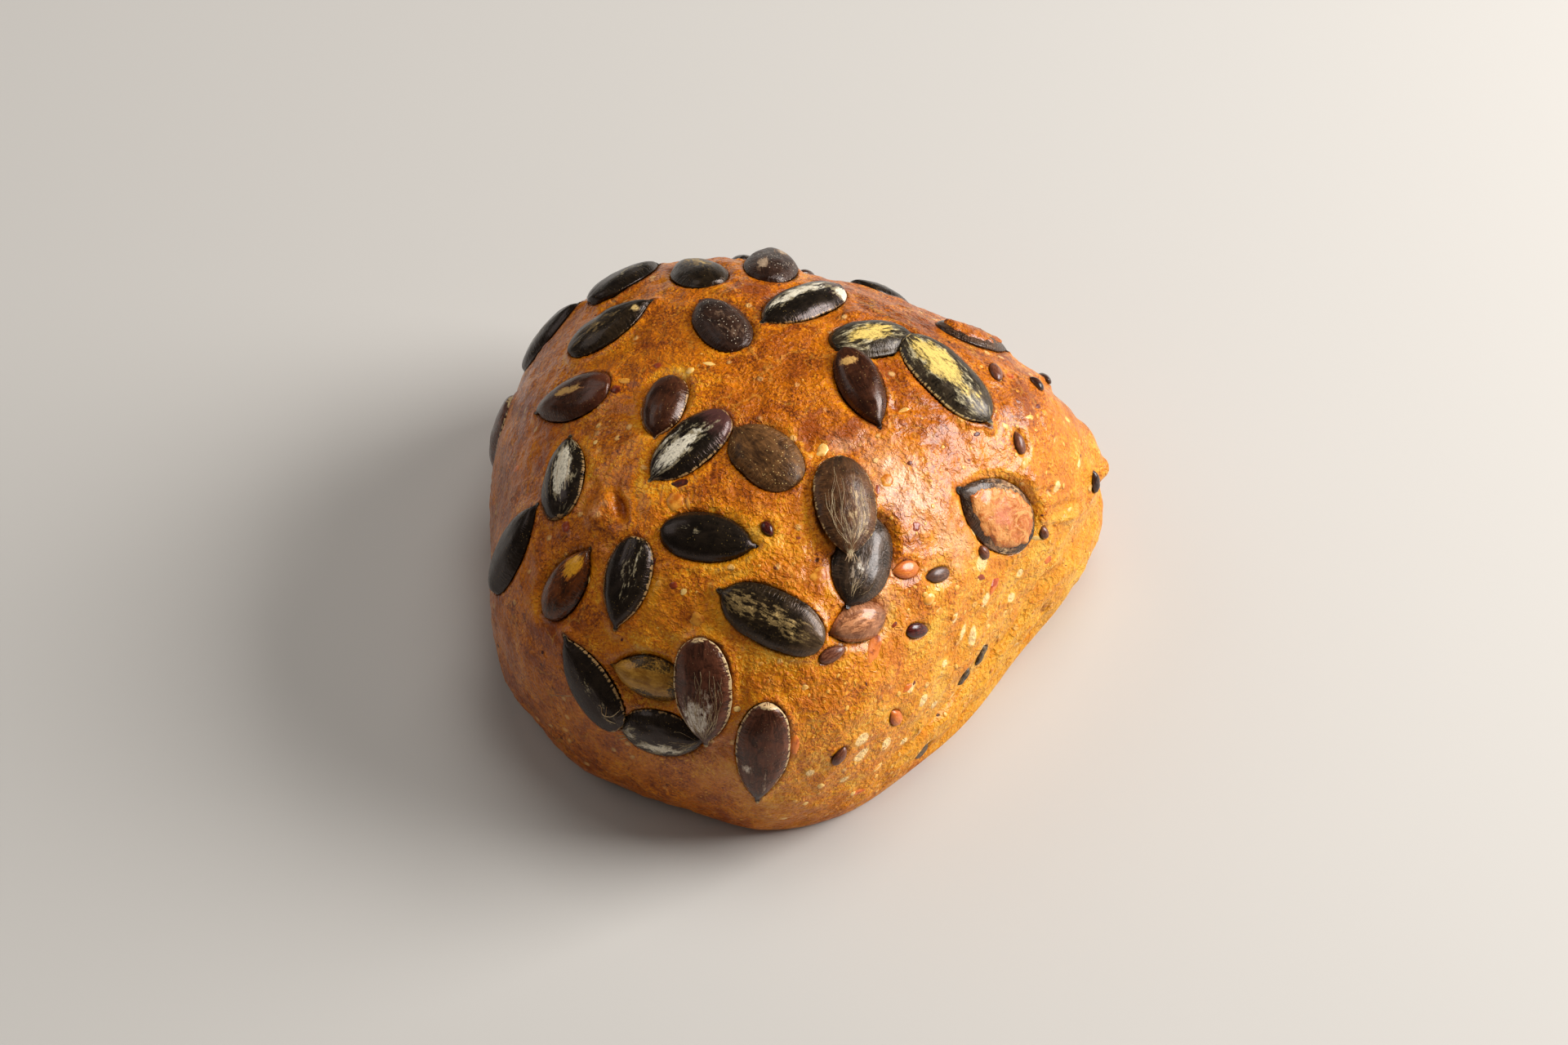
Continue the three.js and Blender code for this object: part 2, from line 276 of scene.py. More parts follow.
def makeCrust(name, look):
    material, tree, shader = newMaterial(name)
    place = objectMm(tree)
    # the bake attribute carries the bake level, painted contact shade and cream
    bake, paintedContactShade, cream = painted(tree, "bake")
    brown, film, pink = painted(tree, "stain")
    # marks where a pale pinkish highlight is painted into the colour
    glazed = put(tree, "ShaderNodeAttribute", {"attribute_name": "glazed"}).outputs["Fac"]
    unfilmed = stretch(tree, film, 0.3, 0.85, 1.0, 0.1)
    grain = useGroup(tree, grainGroup, {"Vector": place})
    patches = noiseAt(tree, place, 8.0, 3.0, 0.62, 0.8)
    sandy = stretch(tree, noiseAt(tree, place, 5.5, 3.0, 0.6), 0.4, 0.6, 0.5, 1.15)
    calm = product(tree, stretch(tree, bake, 0.05, 0.38, 0.5, 1.0), sandy)
    swirls = stretch(tree, noiseAt(tree, place, 3.2, 3.0, 0.6, 2.2), 0.4, 0.62)
    filmTint = blend(tree, swirls, look["film"], look["filmDeep"])
    level = bake
    for value, amount in ((sums(tree, "SUBTRACT", grain["Speckle"], 0.5), 1.6),
                          (sums(tree, "SUBTRACT", grain["Mottle"], 0.5), 0.7)):
        level = added(tree, level, product(tree, product(tree, value, amount), calm))
    level = added(tree, level, sums(tree, "SUBTRACT", patches, 0.5))
    colour = ramp(tree, level, [
        (0.0, look["pale"]), (0.22, look["golden"]), (0.46, look["orange"]), (0.7, look["amber"]),
        (0.95, look["dark"])])
    redness = product(tree, stretch(tree, patches, 0.54, 0.68), stretch(tree, bake, 0.4, 0.6, 0.0, 0.55))
    colour = blend(tree, redness, colour, look["redBrown"])
    colour = blend(tree, product(tree, grain["Veins"], 0.3), colour, look["veins"])
    # the first row paints the window's pinkish highlight into the colour
    for mask, tint, strength, crumb, soft in (
            (glazed, look["paintedSheen"], 0.85, 1.4, 0.9), (film, filmTint, 0.95, 1.0, 0.3),
            (pink, look["pink"], 0.6, 0.8, 0.5), (brown, look["redBrown"], 0.85, 0.7, 0.35),
            (cream, look["pale"], 0.85, 0.9, 0.8),
            (stretch(tree, cream, 0.7, 1.0), look["cream"], 0.9, 0.6, 0.4)):
        broken = useGroup(tree, brokenGroup, {
            "Vector": place, "Patch": mask, "Crumb Size": crumb, "Raggedness": 0.4,
            "Softness": soft})["Mask"]
        colour = blend(tree, product(tree, broken, strength), colour, tint)
    paleDots = product(tree, grain["Pale Dots"], unfilmed)
    colour = blend(tree, product(tree, paleDots, 0.5), colour, look["dots"])
    darkDots = product(tree, grain["Dark Dots"], unfilmed)
    colour = blend(tree, product(tree, darkDots, 0.85), colour, look["pit"])
    # painted shade: dark caramel where the seeds and film edges touch the crust
    colour = blend(tree, product(tree, stretch(tree, paintedContactShade, 0.3, 1.0), 0.85), colour, look["caramelShade"])
    tree.links.new(colour, shader.inputs["Base Color"])
    low, high = look["roughness"]
    tree.links.new(stretch(tree, grain["Mottle"], 0.35, 0.65, low, high), shader.inputs["Roughness"])
    raised = product(tree, grain["Height"], stretch(tree, film, 0.3, 0.85, 1.0, 0.45))
    bump = put(tree, "ShaderNodeBump", None, {
        "Strength": look["bump"], "Distance": look["bumpHeight"] * mm, "Height": raised})
    tree.links.new(bump.outputs["Normal"], shader.inputs["Normal"])
    glaze = put(tree, "ShaderNodeBump", None, {
        "Strength": look["bump"] * look["glazeBump"], "Distance": look["bumpHeight"] * mm,
        "Height": raised})
    tree.links.new(glaze.outputs["Normal"], shader.inputs["Coat Normal"])
    setShader(shader, {
        "Specular IOR Level": look["specular"], "Coat Roughness": look["coatRoughness"],
        "Subsurface Weight": look["clear"], "Subsurface Radius": look["clearRadius"],
        "Subsurface Scale": look["clearDepth"] * mm})
    above = put(tree, "ShaderNodeSeparateXYZ", None, {"Vector": place}).outputs["Z"]
    coat = stretch(tree, above, *look["coatHeights"], *look["coat"])
    tree.links.new(coat, shader.inputs["Coat Weight"])
    return material


seedFinish = {"specular": 0.35, "coatRoughness": 0.14, "bumpHeight": 0.12}
seedSkins = {
    "dark": {
        "base": rgb(12, 9, 6), "light": rgb(36, 27, 17), "patch": rgb(236, 224, 198),
        "fade": rgb(150, 136, 106), "rim": rgb(178, 140, 90), "end": rgb(84, 50, 46), "tip": rgb(5, 4, 4),
        "dust": rgb(196, 158, 84), "dusty": 0.3, "sheen": rgb(255, 218, 206), "roughness": (0.22, 0.33),
        "glaze": 0.18, "soft": 0.4, "bump": 0.38},
    "mottled": {
        "base": rgb(13, 9, 5), "light": rgb(50, 37, 22), "patch": rgb(206, 172, 108),
        "fade": rgb(128, 104, 64), "rim": rgb(178, 140, 90), "end": rgb(104, 80, 56), "tip": rgb(6, 5, 4),
        "dust": rgb(206, 168, 96), "dusty": 0.25, "sheen": rgb(255, 218, 196), "roughness": (0.24, 0.36),
        "glaze": 0.18, "soft": 0.4, "bump": 0.5},
    "brown": {
        "base": rgb(38, 17, 9), "light": rgb(84, 44, 24), "patch": rgb(206, 160, 90),
        "fade": rgb(150, 100, 56), "rim": rgb(200, 160, 112), "end": rgb(92, 46, 28), "tip": rgb(9, 5, 4),
        "dust": rgb(206, 164, 100), "dusty": 0.45, "sheen": rgb(255, 222, 204), "roughness": (0.22, 0.34),
        "glaze": 0.22, "soft": 0.4, "bump": 0.4},
    "plum": {
        "base": rgb(44, 21, 13), "light": rgb(114, 64, 43), "patch": rgb(236, 224, 206),
        "fade": rgb(160, 138, 116), "rim": rgb(216, 184, 134), "end": rgb(100, 64, 50),
        "tip": rgb(12, 9, 8), "dust": rgb(214, 178, 130), "dusty": 0.3, "sheen": rgb(255, 218, 200),
        "roughness": (0.22, 0.36), "glaze": 0.22, "soft": 0.4, "bump": 0.6},
    "dusty": {
        "base": rgb(50, 29, 13), "light": rgb(134, 90, 48), "patch": rgb(190, 148, 92),
        "fade": rgb(150, 112, 70), "rim": rgb(176, 138, 84), "end": rgb(52, 34, 20),
        "tip": rgb(34, 22, 14), "dust": rgb(252, 214, 138), "dusty": 0.95, "sheen": rgb(255, 230, 210),
        "roughness": (0.38, 0.56), "glaze": 0.04, "soft": 0.4, "bump": 1.0},
    "granular": {
        "base": rgb(28, 15, 10), "light": rgb(66, 42, 30), "patch": rgb(170, 144, 116),
        "fade": rgb(110, 84, 64), "rim": rgb(150, 112, 76), "end": rgb(30, 18, 12),
        "tip": rgb(84, 50, 44), "dust": rgb(250, 230, 200), "dusty": 1.0, "sheen": rgb(255, 226, 214),
        "roughness": (0.28, 0.42), "glaze": 0.12, "soft": 0.4, "bump": 1.0},
    "ash": {
        "base": rgb(48, 28, 14), "light": rgb(114, 74, 43), "patch": rgb(226, 204, 160),
        "fade": rgb(178, 150, 110), "rim": rgb(206, 172, 116), "end": rgb(40, 31, 22),
        "tip": rgb(30, 24, 20), "dust": rgb(214, 178, 106), "dusty": 0.35, "sheen": rgb(255, 226, 210),
        "roughness": (0.3, 0.44), "glaze": 0.12, "soft": 0.4, "bump": 1.0},
    "grey": {
        "base": rgb(30, 22, 15), "light": rgb(88, 66, 48), "patch": rgb(232, 222, 204),
        "fade": rgb(150, 132, 110), "rim": rgb(180, 140, 98), "end": rgb(56, 44, 34), "tip": rgb(9, 8, 8),
        "dust": rgb(200, 176, 130), "dusty": 0.25, "sheen": rgb(255, 236, 226), "roughness": (0.2, 0.32),
        "glaze": 0.3, "soft": 0.4, "bump": 0.9},
    "pale": {
        "base": rgb(20, 15, 9), "light": rgb(76, 62, 44), "patch": rgb(240, 204, 110),
        "fade": rgb(206, 190, 148), "rim": rgb(200, 168, 108), "end": rgb(20, 16, 11),
        "tip": rgb(14, 12, 9), "dust": rgb(220, 190, 120), "dusty": 0.2, "sheen": rgb(255, 236, 222),
        "roughness": (0.26, 0.4), "glaze": 0.12, "soft": 0.85, "bump": 0.6},
    "kernel": {
        "base": rgb(132, 84, 20), "light": rgb(212, 156, 62), "patch": rgb(16, 11, 6),
        "fade": rgb(46, 30, 12), "rim": rgb(16, 10, 6), "end": rgb(60, 40, 16), "tip": rgb(14, 9, 5),
        "dust": rgb(230, 190, 120), "dusty": 0.15, "sheen": rgb(255, 236, 214), "roughness": (0.24, 0.38),
        "glaze": 0.25, "soft": 0.6, "bump": 0.8},
    "film": {
        "base": rgb(40, 15, 4), "light": rgb(128, 62, 15), "patch": rgb(236, 164, 30),
        "fade": rgb(176, 96, 20), "rim": rgb(16, 9, 6), "end": rgb(60, 26, 9), "tip": rgb(11, 7, 5),
        "dust": rgb(220, 160, 90), "dusty": 0.3, "sheen": rgb(255, 226, 206), "roughness": (0.14, 0.28),
        "glaze": 0.45, "soft": 0.4, "bump": 1.0},
    "torn": {
        "base": rgb(26, 15, 9), "light": rgb(92, 64, 44), "patch": rgb(206, 168, 120),
        "fade": rgb(150, 110, 76), "rim": rgb(24, 15, 10), "end": rgb(70, 48, 34), "tip": rgb(8, 6, 5),
        "dust": rgb(220, 184, 130), "dusty": 0.4, "sheen": rgb(255, 226, 206), "roughness": (0.2, 0.36),
        "glaze": 0.3, "soft": 0.4, "bump": 1.0},
    "blush": {
        "base": rgb(118, 66, 38), "light": rgb(208, 142, 98), "patch": rgb(228, 170, 124),
        "fade": rgb(208, 138, 90), "rim": rgb(96, 52, 28), "end": rgb(64, 36, 24), "tip": rgb(40, 21, 13),
        "dust": rgb(240, 190, 130), "dusty": 0.3, "sheen": rgb(255, 226, 206), "roughness": (0.24, 0.38),
        "glaze": 0.35, "soft": 0.4, "bump": 0.8},
}


def makeSeedSkin(name, look):
    material, tree, shader = newMaterial(name)
    place = put(tree, "ShaderNodeAttribute", {"attribute_name": "seedPlace"}).outputs["Vector"]
    flow = put(tree, "ShaderNodeAttribute", {"attribute_name": "seedFlow"}).outputs["Vector"]
    rim, patch, tip = painted(tree, "seedPaint")
    blunt, flank, edge = painted(tree, "seedSides")
    fibres = useGroup(tree, fibreGroup, {"Flow": flow, "Place": place})
    shade = added(tree, stretch(tree, fibres["Streaks"], 0.4, 0.7, 0.0, 0.4),
                 stretch(tree, fibres["Mottle"], 0.36, 0.7, 0.0, 0.5), True)
    colour = blend(tree, shade, look["base"], look["light"])
    ribs = product(tree, flank, stretch(tree, fibres["Ribs"], 0.42, 0.62))
    colour = blend(tree, product(tree, ribs, 0.4), colour, look["light"])
    endMask = useGroup(tree, brokenGroup, {
        "Vector": times(tree, flow, (0.5, 1.0, 1.0)), "Patch": blunt, "Crumb Size": 0.6, "Raggedness": 0.5,
        "Softness": 0.9})["Mask"]
    colour = blend(tree, product(tree, endMask, 0.85), colour, look["end"])
    patchMask = useGroup(tree, brokenGroup, {
        "Vector": times(tree, flow, (0.4, 1.0, 1.0)), "Patch": patch, "Crumb Size": 0.4, "Raggedness": 1.3,
        "Softness": look["soft"]})["Mask"]
    specked = stretch(tree, noiseAt(tree, place, 0.3, 3.0, 0.7), 0.5, 0.36, 0.0, 0.8)
    worn = added(tree, stretch(tree, fibres["Streaks"], 0.46, 0.34, 0.0, 0.45),
                product(tree, specked, stretch(tree, patch, 1.3, 0.6, 0.4, 1.0)), True)
    core = added(tree, patch, product(tree, sums(tree, "SUBTRACT", fibres["Mottle"], 0.5), 2.2))
    patchColour = blend(tree, stretch(tree, core, 0.55, 0.95), look["fade"], look["patch"])
    patchColour = blend(tree, worn, patchColour, look["light"])
    colour = blend(tree, product(tree, patchMask, 0.92), colour, patchColour)
    colour = blend(tree, product(tree, tip, 0.9), colour, look["tip"])
    ribbed = product(tree, rim, stretch(tree, fibres["Ribs"], 0.3, 0.62, 0.35, 1.25))
    rimMask = useGroup(tree, brokenGroup, {
        "Vector": place, "Patch": ribbed, "Crumb Size": 0.3, "Raggedness": 0.3, "Softness": 0.3})["Mask"]
    colour = blend(tree, product(tree, rimMask, 0.85), colour, look["rim"])
    colour = blend(tree, product(tree, fibres["Dust"], look["dusty"]), colour, look["dust"])
    tree.links.new(colour, shader.inputs["Base Color"])
    low, high = look["roughness"]
    matt = added(tree, stretch(tree, fibres["Mottle"], 0.35, 0.7, low, high),
                product(tree, patchMask, 0.18))
    tree.links.new(matt, shader.inputs["Roughness"])
    raised = added(tree, fibres["Height"], product(tree, ribs, 0.6))
    raised = added(tree, raised, product(tree, product(tree, edge, fibres["Ribs"]), 1.4))
    bump = put(tree, "ShaderNodeBump", None, {
        "Strength": look["bump"], "Distance": seedFinish["bumpHeight"] * mm, "Height": raised})
    tree.links.new(bump.outputs["Normal"], shader.inputs["Normal"])
    setShader(shader, {
        "Specular IOR Level": seedFinish["specular"], "Specular Tint": look["sheen"],
        "Coat Weight": look["glaze"], "Coat Roughness": seedFinish["coatRoughness"]})
    return material


crumbFinish = {"specular": 0.35, "coat": 0.15, "coatRoughness": 0.2, "clearRadius": (1.0, 0.5, 0.2),
               "clearDepth": 0.8, "bump": 0.5, "bumpHeight": 0.1}
crumbLooks = {
    "cream": {"base": rgb(244, 194, 112), "dark": rgb(226, 148, 50), "roughness": 0.36, "clear": 0.15},
    "golden": {"base": rgb(226, 150, 50), "dark": rgb(184, 96, 16), "roughness": 0.34, "clear": 0.15},
    "blister": {"base": rgb(236, 172, 76), "dark": rgb(208, 120, 16), "roughness": 0.34, "clear": 0.1},
    "speck": {"base": rgb(128, 54, 14), "dark": rgb(72, 26, 6), "roughness": 0.6, "clear": 0.0},
    "orange": {"base": rgb(226, 116, 40), "dark": rgb(166, 60, 14), "roughness": 0.28, "clear": 0.2},
    "brown": {"base": rgb(146, 58, 26), "dark": rgb(84, 26, 10), "roughness": 0.28, "clear": 0.1},
    "maroon": {"base": rgb(104, 36, 14), "dark": rgb(48, 14, 8), "roughness": 0.4, "clear": 0.0},
    "shard": {"base": rgb(224, 122, 46), "dark": rgb(150, 66, 18), "roughness": 0.36, "clear": 0.15},
    "olive": {"base": rgb(196, 158, 84), "dark": rgb(146, 104, 44), "roughness": 0.45, "clear": 0.1},
}


def makeCrumbSkin(name, look):
    s = crumbFinish
    material, tree, shader = newMaterial(name)
    place = objectMm(tree)
    cloudy = noiseAt(tree, place, 0.8, 3.0, 0.6)
    patchy = noiseAt(tree, place, 3.1, 1.0)
    cloudy = added(tree, cloudy, sums(tree, "SUBTRACT", patchy, 0.5))
    colour = blend(tree, stretch(tree, cloudy, 0.4, 0.7), look["base"], look["dark"])
    tree.links.new(colour, shader.inputs["Base Color"])
    fine = noiseAt(tree, place, 0.4, 2.0, 0.6)
    bump = put(tree, "ShaderNodeBump", None, {
        "Strength": s["bump"], "Distance": s["bumpHeight"] * mm, "Height": fine})
    tree.links.new(bump.outputs["Normal"], shader.inputs["Normal"])
    setShader(shader, {
        "Roughness": look["roughness"], "Specular IOR Level": s["specular"], "Coat Weight": s["coat"],
        "Coat Roughness": s["coatRoughness"], "Subsurface Weight": look["clear"],
        "Subsurface Radius": s["clearRadius"], "Subsurface Scale": s["clearDepth"] * mm})
    return material


crustMaterial = makeCrust("bakedCrust", crustLook)
seedMaterials = {key: makeSeedSkin(key + "SeedSkin", look) for key, look in seedSkins.items()}
crumbMaterials = {key: makeCrumbSkin(key + "Crumb", look) for key, look in crumbLooks.items()}
print("materials made")


# numbers on a surface
def smooth(low, high, value):
    t = np.clip((value - low) / (high - low), 0, 1)
    return t * t * (3 - 2 * t)


def waves(points, size, octaves=2, shift=0.0):  # soft noise of about -1 to 1 at points in millimetres
    moved = points / size + shift
    return np.array([noise.fractal(p, 0.9, 2.1, octaves) for p in moved.tolist()])


def meshPiece(name, points, faces, material, colours=None, vectors=None, numbers=None):
    mesh = bpy.data.meshes.new(name)
    mesh.from_pydata((points * mm).tolist(), [], faces)
    mesh.materials.append(material)
    mesh.shade_smooth()
    for label, values in (colours or {}).items():
        layer = mesh.attributes.new(label, "FLOAT_COLOR", "POINT")
        layer.data.foreach_set("color", np.c_[values, np.ones(len(values))].astype(np.float32).ravel())
    for label, values in (vectors or {}).items():
        layer = mesh.attributes.new(label, "FLOAT_VECTOR", "POINT")
        layer.data.foreach_set("vector", values.astype(np.float32).ravel())
    for label, values in (numbers or {}).items():
        layer = mesh.attributes.new(label, "FLOAT", "POINT")
        layer.data.foreach_set("value", values.astype(np.float32))
    mesh.update()
    piece = bpy.data.objects.new(name, mesh)
    bpy.context.scene.collection.objects.link(piece)
    return piece


def touchable(piece):  # finds the nearest spot of a piece
    return BVHTree.FromPolygons(
        [v.co for v in piece.data.vertices], [p.vertices for p in piece.data.polygons])


# where each stuck-on piece lies, read from its CAD solid
def readPlace(node):
    seen = {tuple(round(c, 7) for c in v.co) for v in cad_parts[node].data.vertices}
    points = np.array(sorted(seen)) / mm
    middle = points.mean(0)
    axes = np.linalg.svd(points - middle, full_matrices=False)[2]  # long, wide, thick
    along, across, out = axes
    spans = [(points - middle) @ axis for axis in axes]
    centre = middle + sum(axis * (span.max() + span.min()) / 2 for axis, span in zip(axes, spans))
    if (spans[0].max() + spans[0].min()) < 0:  # the tip's end is the long one, away from the mean
        along = -along
    if out @ (centre - np.array([0, 0, 8.0])) < 0:
        out = -out
    across = np.cross(along, out)
    size = [float(np.ptp(span)) for span in spans]
    return {"centre": centre, "along": along, "across": across, "out": out,
            "length": size[0], "width": size[1], "thick": size[2]}


places = {node: readPlace(node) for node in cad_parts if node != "roll"}


# the roll
rollShape = {
    "outline": [  # plan of the waist in millimetres, anticlockwise from the pointed corner
        (47.8, 13.6), (41.5, 24), (27, 34), (6, 43), (-15, 47), (-33.5, 38.5), (-42.5, 18), (-43, -2),
        (-41, -19), (-30, -33), (-14, -40.5), (-2.5, -43.8), (9, -40.2), (22, -27.2), (34, -12), (44, 1)],
    "waistHeight": 12, "crown": (-3, 4), "crownRadius": 43, "roundness": 0.5,
    "outwardPower": 2.35, "upwardPower": 2.1,
    "footShare": 0.88, "uprightBearing": -38, "uprightShare": 0.12, "uprightSharpness": 4,
    "gridSteps": 126, "footEdge": -66, "waistRise": -36,  # where the globe's rows meet the foot and waist
}
rollHeight = (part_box("roll")[1].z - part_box("roll")[0].z) / mm


def waistCurve(outline, steps=1440):  # closed centripetal Catmull-Rom through the outline
    corners = np.array(outline, float)
    count = len(corners)
    points = []
    for step in range(steps):
        spot, along = divmod(count * step / steps, 1)
        p0, p1, p2, p3 = (corners[(int(spot) + k) % count] for k in (-1, 0, 1, 2))
        d0, d1, d2 = (math.sqrt(np.linalg.norm(b - a)) for a, b in ((p0, p1), (p1, p2), (p2, p3)))
        start = ((p1 - p0) / d0 - (p2 - p0) / (d0 + d1) + (p2 - p1) / d1) * d1
        end = ((p2 - p1) / d1 - (p3 - p1) / (d1 + d2) + (p3 - p2) / d2) * d1
        points.append(p1 + start * along + (3 * (p2 - p1) - 2 * start - end) * along ** 2
                      + (2 * (p1 - p2) + start + end) * along ** 3)
    return np.array(points)


waist = waistCurve(rollShape["outline"])
waistAngles = np.arctan2(waist[:, 1], waist[:, 0])
waistRadii = np.hypot(waist[:, 0], waist[:, 1])


# both in radians; lift is -90 degrees at the foot, 0 at the waist and 90 at the crown
def crustPoint(bearing, lift):
    s = rollShape
    radius = np.interp(bearing, waistAngles, waistRadii, period=2 * math.pi)
    facing = np.maximum(0, np.cos(bearing - math.radians(s["uprightBearing"])))
    share = s["footShare"] + s["uprightShare"] * facing ** s["uprightSharpness"]
    footRadius = radius * (share + (1 - share) * np.cos(lift))
    up = np.clip(lift, 0, math.pi / 2)
    reach = np.maximum(0, np.cos(up)) ** (2 / s["outwardPower"])
    inward = 1 - reach
    domeRadius = reach * (radius + (s["crownRadius"] - radius) * s["roundness"] * inward)
    height = s["waistHeight"] + (rollHeight - s["waistHeight"]) * np.sin(up) ** (2 / s["upwardPower"])
    below = lift < 0
    r = np.where(below, footRadius, domeRadius)
    x = np.where(below, 0, s["crown"][0] * inward) + r * np.cos(bearing)
    y = np.where(below, 0, s["crown"][1] * inward) + r * np.sin(bearing)
    z = np.where(below, s["waistHeight"] * (1 + np.sin(np.minimum(lift, 0))), height)
    return np.stack([x, y, z], -1)


def cubeGrid(steps):  # unit directions and outward quads of a globe with no poles
    t = np.tan(np.linspace(-1, 1, steps + 1) * math.pi / 4)
    a, b = np.meshgrid(t, t, indexing="ij")
    one = np.ones_like(a)
    sides = [(one, a, b), (-one, b, a), (b, one, a), (a, -one, b), (a, b, one), (b, a, -one)]
    points = np.concatenate([np.stack(side, -1).reshape(-1, 3) for side in sides])
    points /= np.linalg.norm(points, axis=1, keepdims=True)
    index = np.arange((steps + 1) ** 2).reshape(steps + 1, steps + 1)
    quads = np.stack([index[:-1, :-1], index[1:, :-1], index[1:, 1:], index[:-1, 1:]], -1).reshape(-1, 4)
    quads = np.concatenate([quads + k * (steps + 1) ** 2 for k in range(6)])
    _, first, back = np.unique(np.round(points, 6), axis=0, return_index=True, return_inverse=True)
    return points[first], back.reshape(-1)[quads]


def normalsOf(points, quads):
    p = points[quads]
    facing = np.cross(p[:, 2] - p[:, 0], p[:, 3] - p[:, 1])
    total = np.zeros_like(points)
    for k in range(4):
        np.add.at(total, quads[:, k], facing)
    return total / (np.linalg.norm(total, axis=1, keepdims=True) + 1e-12)


def rollSurface(directions):  # lays the globe's directions over the roll's shape
    bearing = np.arctan2(directions[:, 1], directions[:, 0])
    rise = np.degrees(np.arcsin(np.clip(directions[:, 2], -1, 1)))
    footEdge, waistRise = rollShape["footEdge"], rollShape["waistRise"]
    lift = np.where(rise > waistRise, (rise - waistRise) / (90 - waistRise) * 90,
                    (rise - waistRise) / (waistRise - footEdge) * 90)
    points = crustPoint(bearing, np.radians(np.clip(lift, -90, 90)))
    inBase = np.clip((rise + 90) / (footEdge + 90), 0, 1)[:, None]
    return points * np.where(inBase < 1, inBase, 1), bearing, np.clip(lift, -90, 90)


seedBuild = {"alongSteps": 60, "aroundSteps": 56, "bow": 0.3, "dent": 0.15, "crease": 0.05, "bead": 0.17,
             "flange": 0.95, "lift": 0.22, "plump": 1.24, "filmedPlump": 0.85}
seedOutline = {"widest": 0.43, "bluntPower": 0.42, "tip": (2.1, 0.85), "nib": (0.05, 0.12)}
tipShapes = {  # how full and how steep a tip is, where it is not like the others
    "pumpkin_seed_05": (2.7, 0.76), "pumpkin_seed_06": (2.6, 0.76), "pumpkin_seed_07": (3.0, 0.74),
    "pumpkin_seed_08": (3.6, 0.68), "pumpkin_seed_12": (2.7, 0.76), "pumpkin_seed_13": (2.9, 0.74),
    "pumpkin_seed_14": (3.2, 0.7), "pumpkin_seed_16": (2.7, 0.78), "pumpkin_seed_17": (2.9, 0.76),
    "pumpkin_seed_18": (2.5, 0.82), "pumpkin_seed_22": (3.3, 0.7), "pumpkin_seed_26": (2.5, 0.8)}
trimmed = {  # shares of the width
    "pumpkin_seed_27": 0.89, "pumpkin_seed_20": 0.92,
    "husk_flake_01": 1.7, "husk_flake_02": 1.3, "husk_flake_03": 1.9}
for node, place in places.items():
    place["tip"] = tipShapes.get(node, seedOutline["tip"])
    place["nib"] = seedOutline["nib"] if node.startswith("pumpkin_seed") else (0, 0)
    place["width"] *= trimmed.get(node, 1)


def halfWidth(along, place):  # share of the half width at a share of the length, blunt end first
    s = seedOutline
    fullness, power = place["tip"]
    nibLong, nibWide = place["nib"]
    body = along / (1 - nibLong)
    blunt = np.maximum(0, 1 - ((s["widest"] - body) / s["widest"]) ** 2) ** s["bluntPower"]
    tip = np.maximum(0, 1 - np.clip((body - s["widest"]) / (1 - s["widest"]), 0, 1) ** fullness)
    ahead = np.clip((along - 1 + nibLong * 2) / (nibLong * 2 + 1e-9), 0, 1)
    nib = nibWide * np.sqrt(1 - ahead ** 2) * (along > 0.5)
    return np.where(body < s["widest"], blunt, np.maximum(tip ** power, nib))


def outlineOf(place, steps=48):
    u = (1 - np.cos(np.linspace(0, math.pi, steps))) / 2
    side = halfWidth(u, place) * place["width"] / 2
    y = (u - 0.5) * place["length"]
    return np.r_[np.c_[side, y], np.c_[-side[::-1], y[::-1]]]


def distanceTo(outline, x, y):  # to the outline, negative inside it
    starts, ends = outline, np.roll(outline, -1, 0)
    steps = ends - starts
    spot = np.c_[x, y][:, None] - starts
    t = np.clip((spot * steps).sum(2) / ((steps ** 2).sum(1) + 1e-9), 0, 1)
    gap = np.sqrt(((spot - t[..., None] * steps) ** 2).sum(2)).min(1)
    crossing = (starts[:, 1] > y[:, None]) != (ends[:, 1] > y[:, None])
    where = ((ends[:, 0] - starts[:, 0]) * (y[:, None] - starts[:, 1])
             / (ends[:, 1] - starts[:, 1] + 1e-12) + starts[:, 0])
    inside = ((x[:, None] < where) & crossing).sum(1) % 2 == 1
    return np.where(inside, -gap, gap)


crustRelief = {  # heights in millimetres
    "layers": [  # lumps, swells, puckers and grain: height, size, octaves, shift
        (0.5, 17, 2, 3.1), (0.3, 7, 2, 7.7), (0.22, 2.6, 2, 1.3), (0.05, 0.9, 1, 5.5)],
    "wrinkles": 0.24,
    "lipReach": 0.75, "lipMost": 0.6, "flakeLip": 0.12, "pocketDepth": 0.25,
    "films": {  # how far inside the seed's edge it stays, how high it lies, how pink it is and how strong its tint
        "pumpkin_seed_28": (0.8, 0.22, 1.0, 0.9), "pumpkin_seed_10": (0.7, 0.2, 0.3, 0.25)},
    "filmGaps": {"pumpkin_seed_28": [(2.6, -1.6, 1.0), (-3.2, -2.2, 0.9)]},  # across, along, reach
}
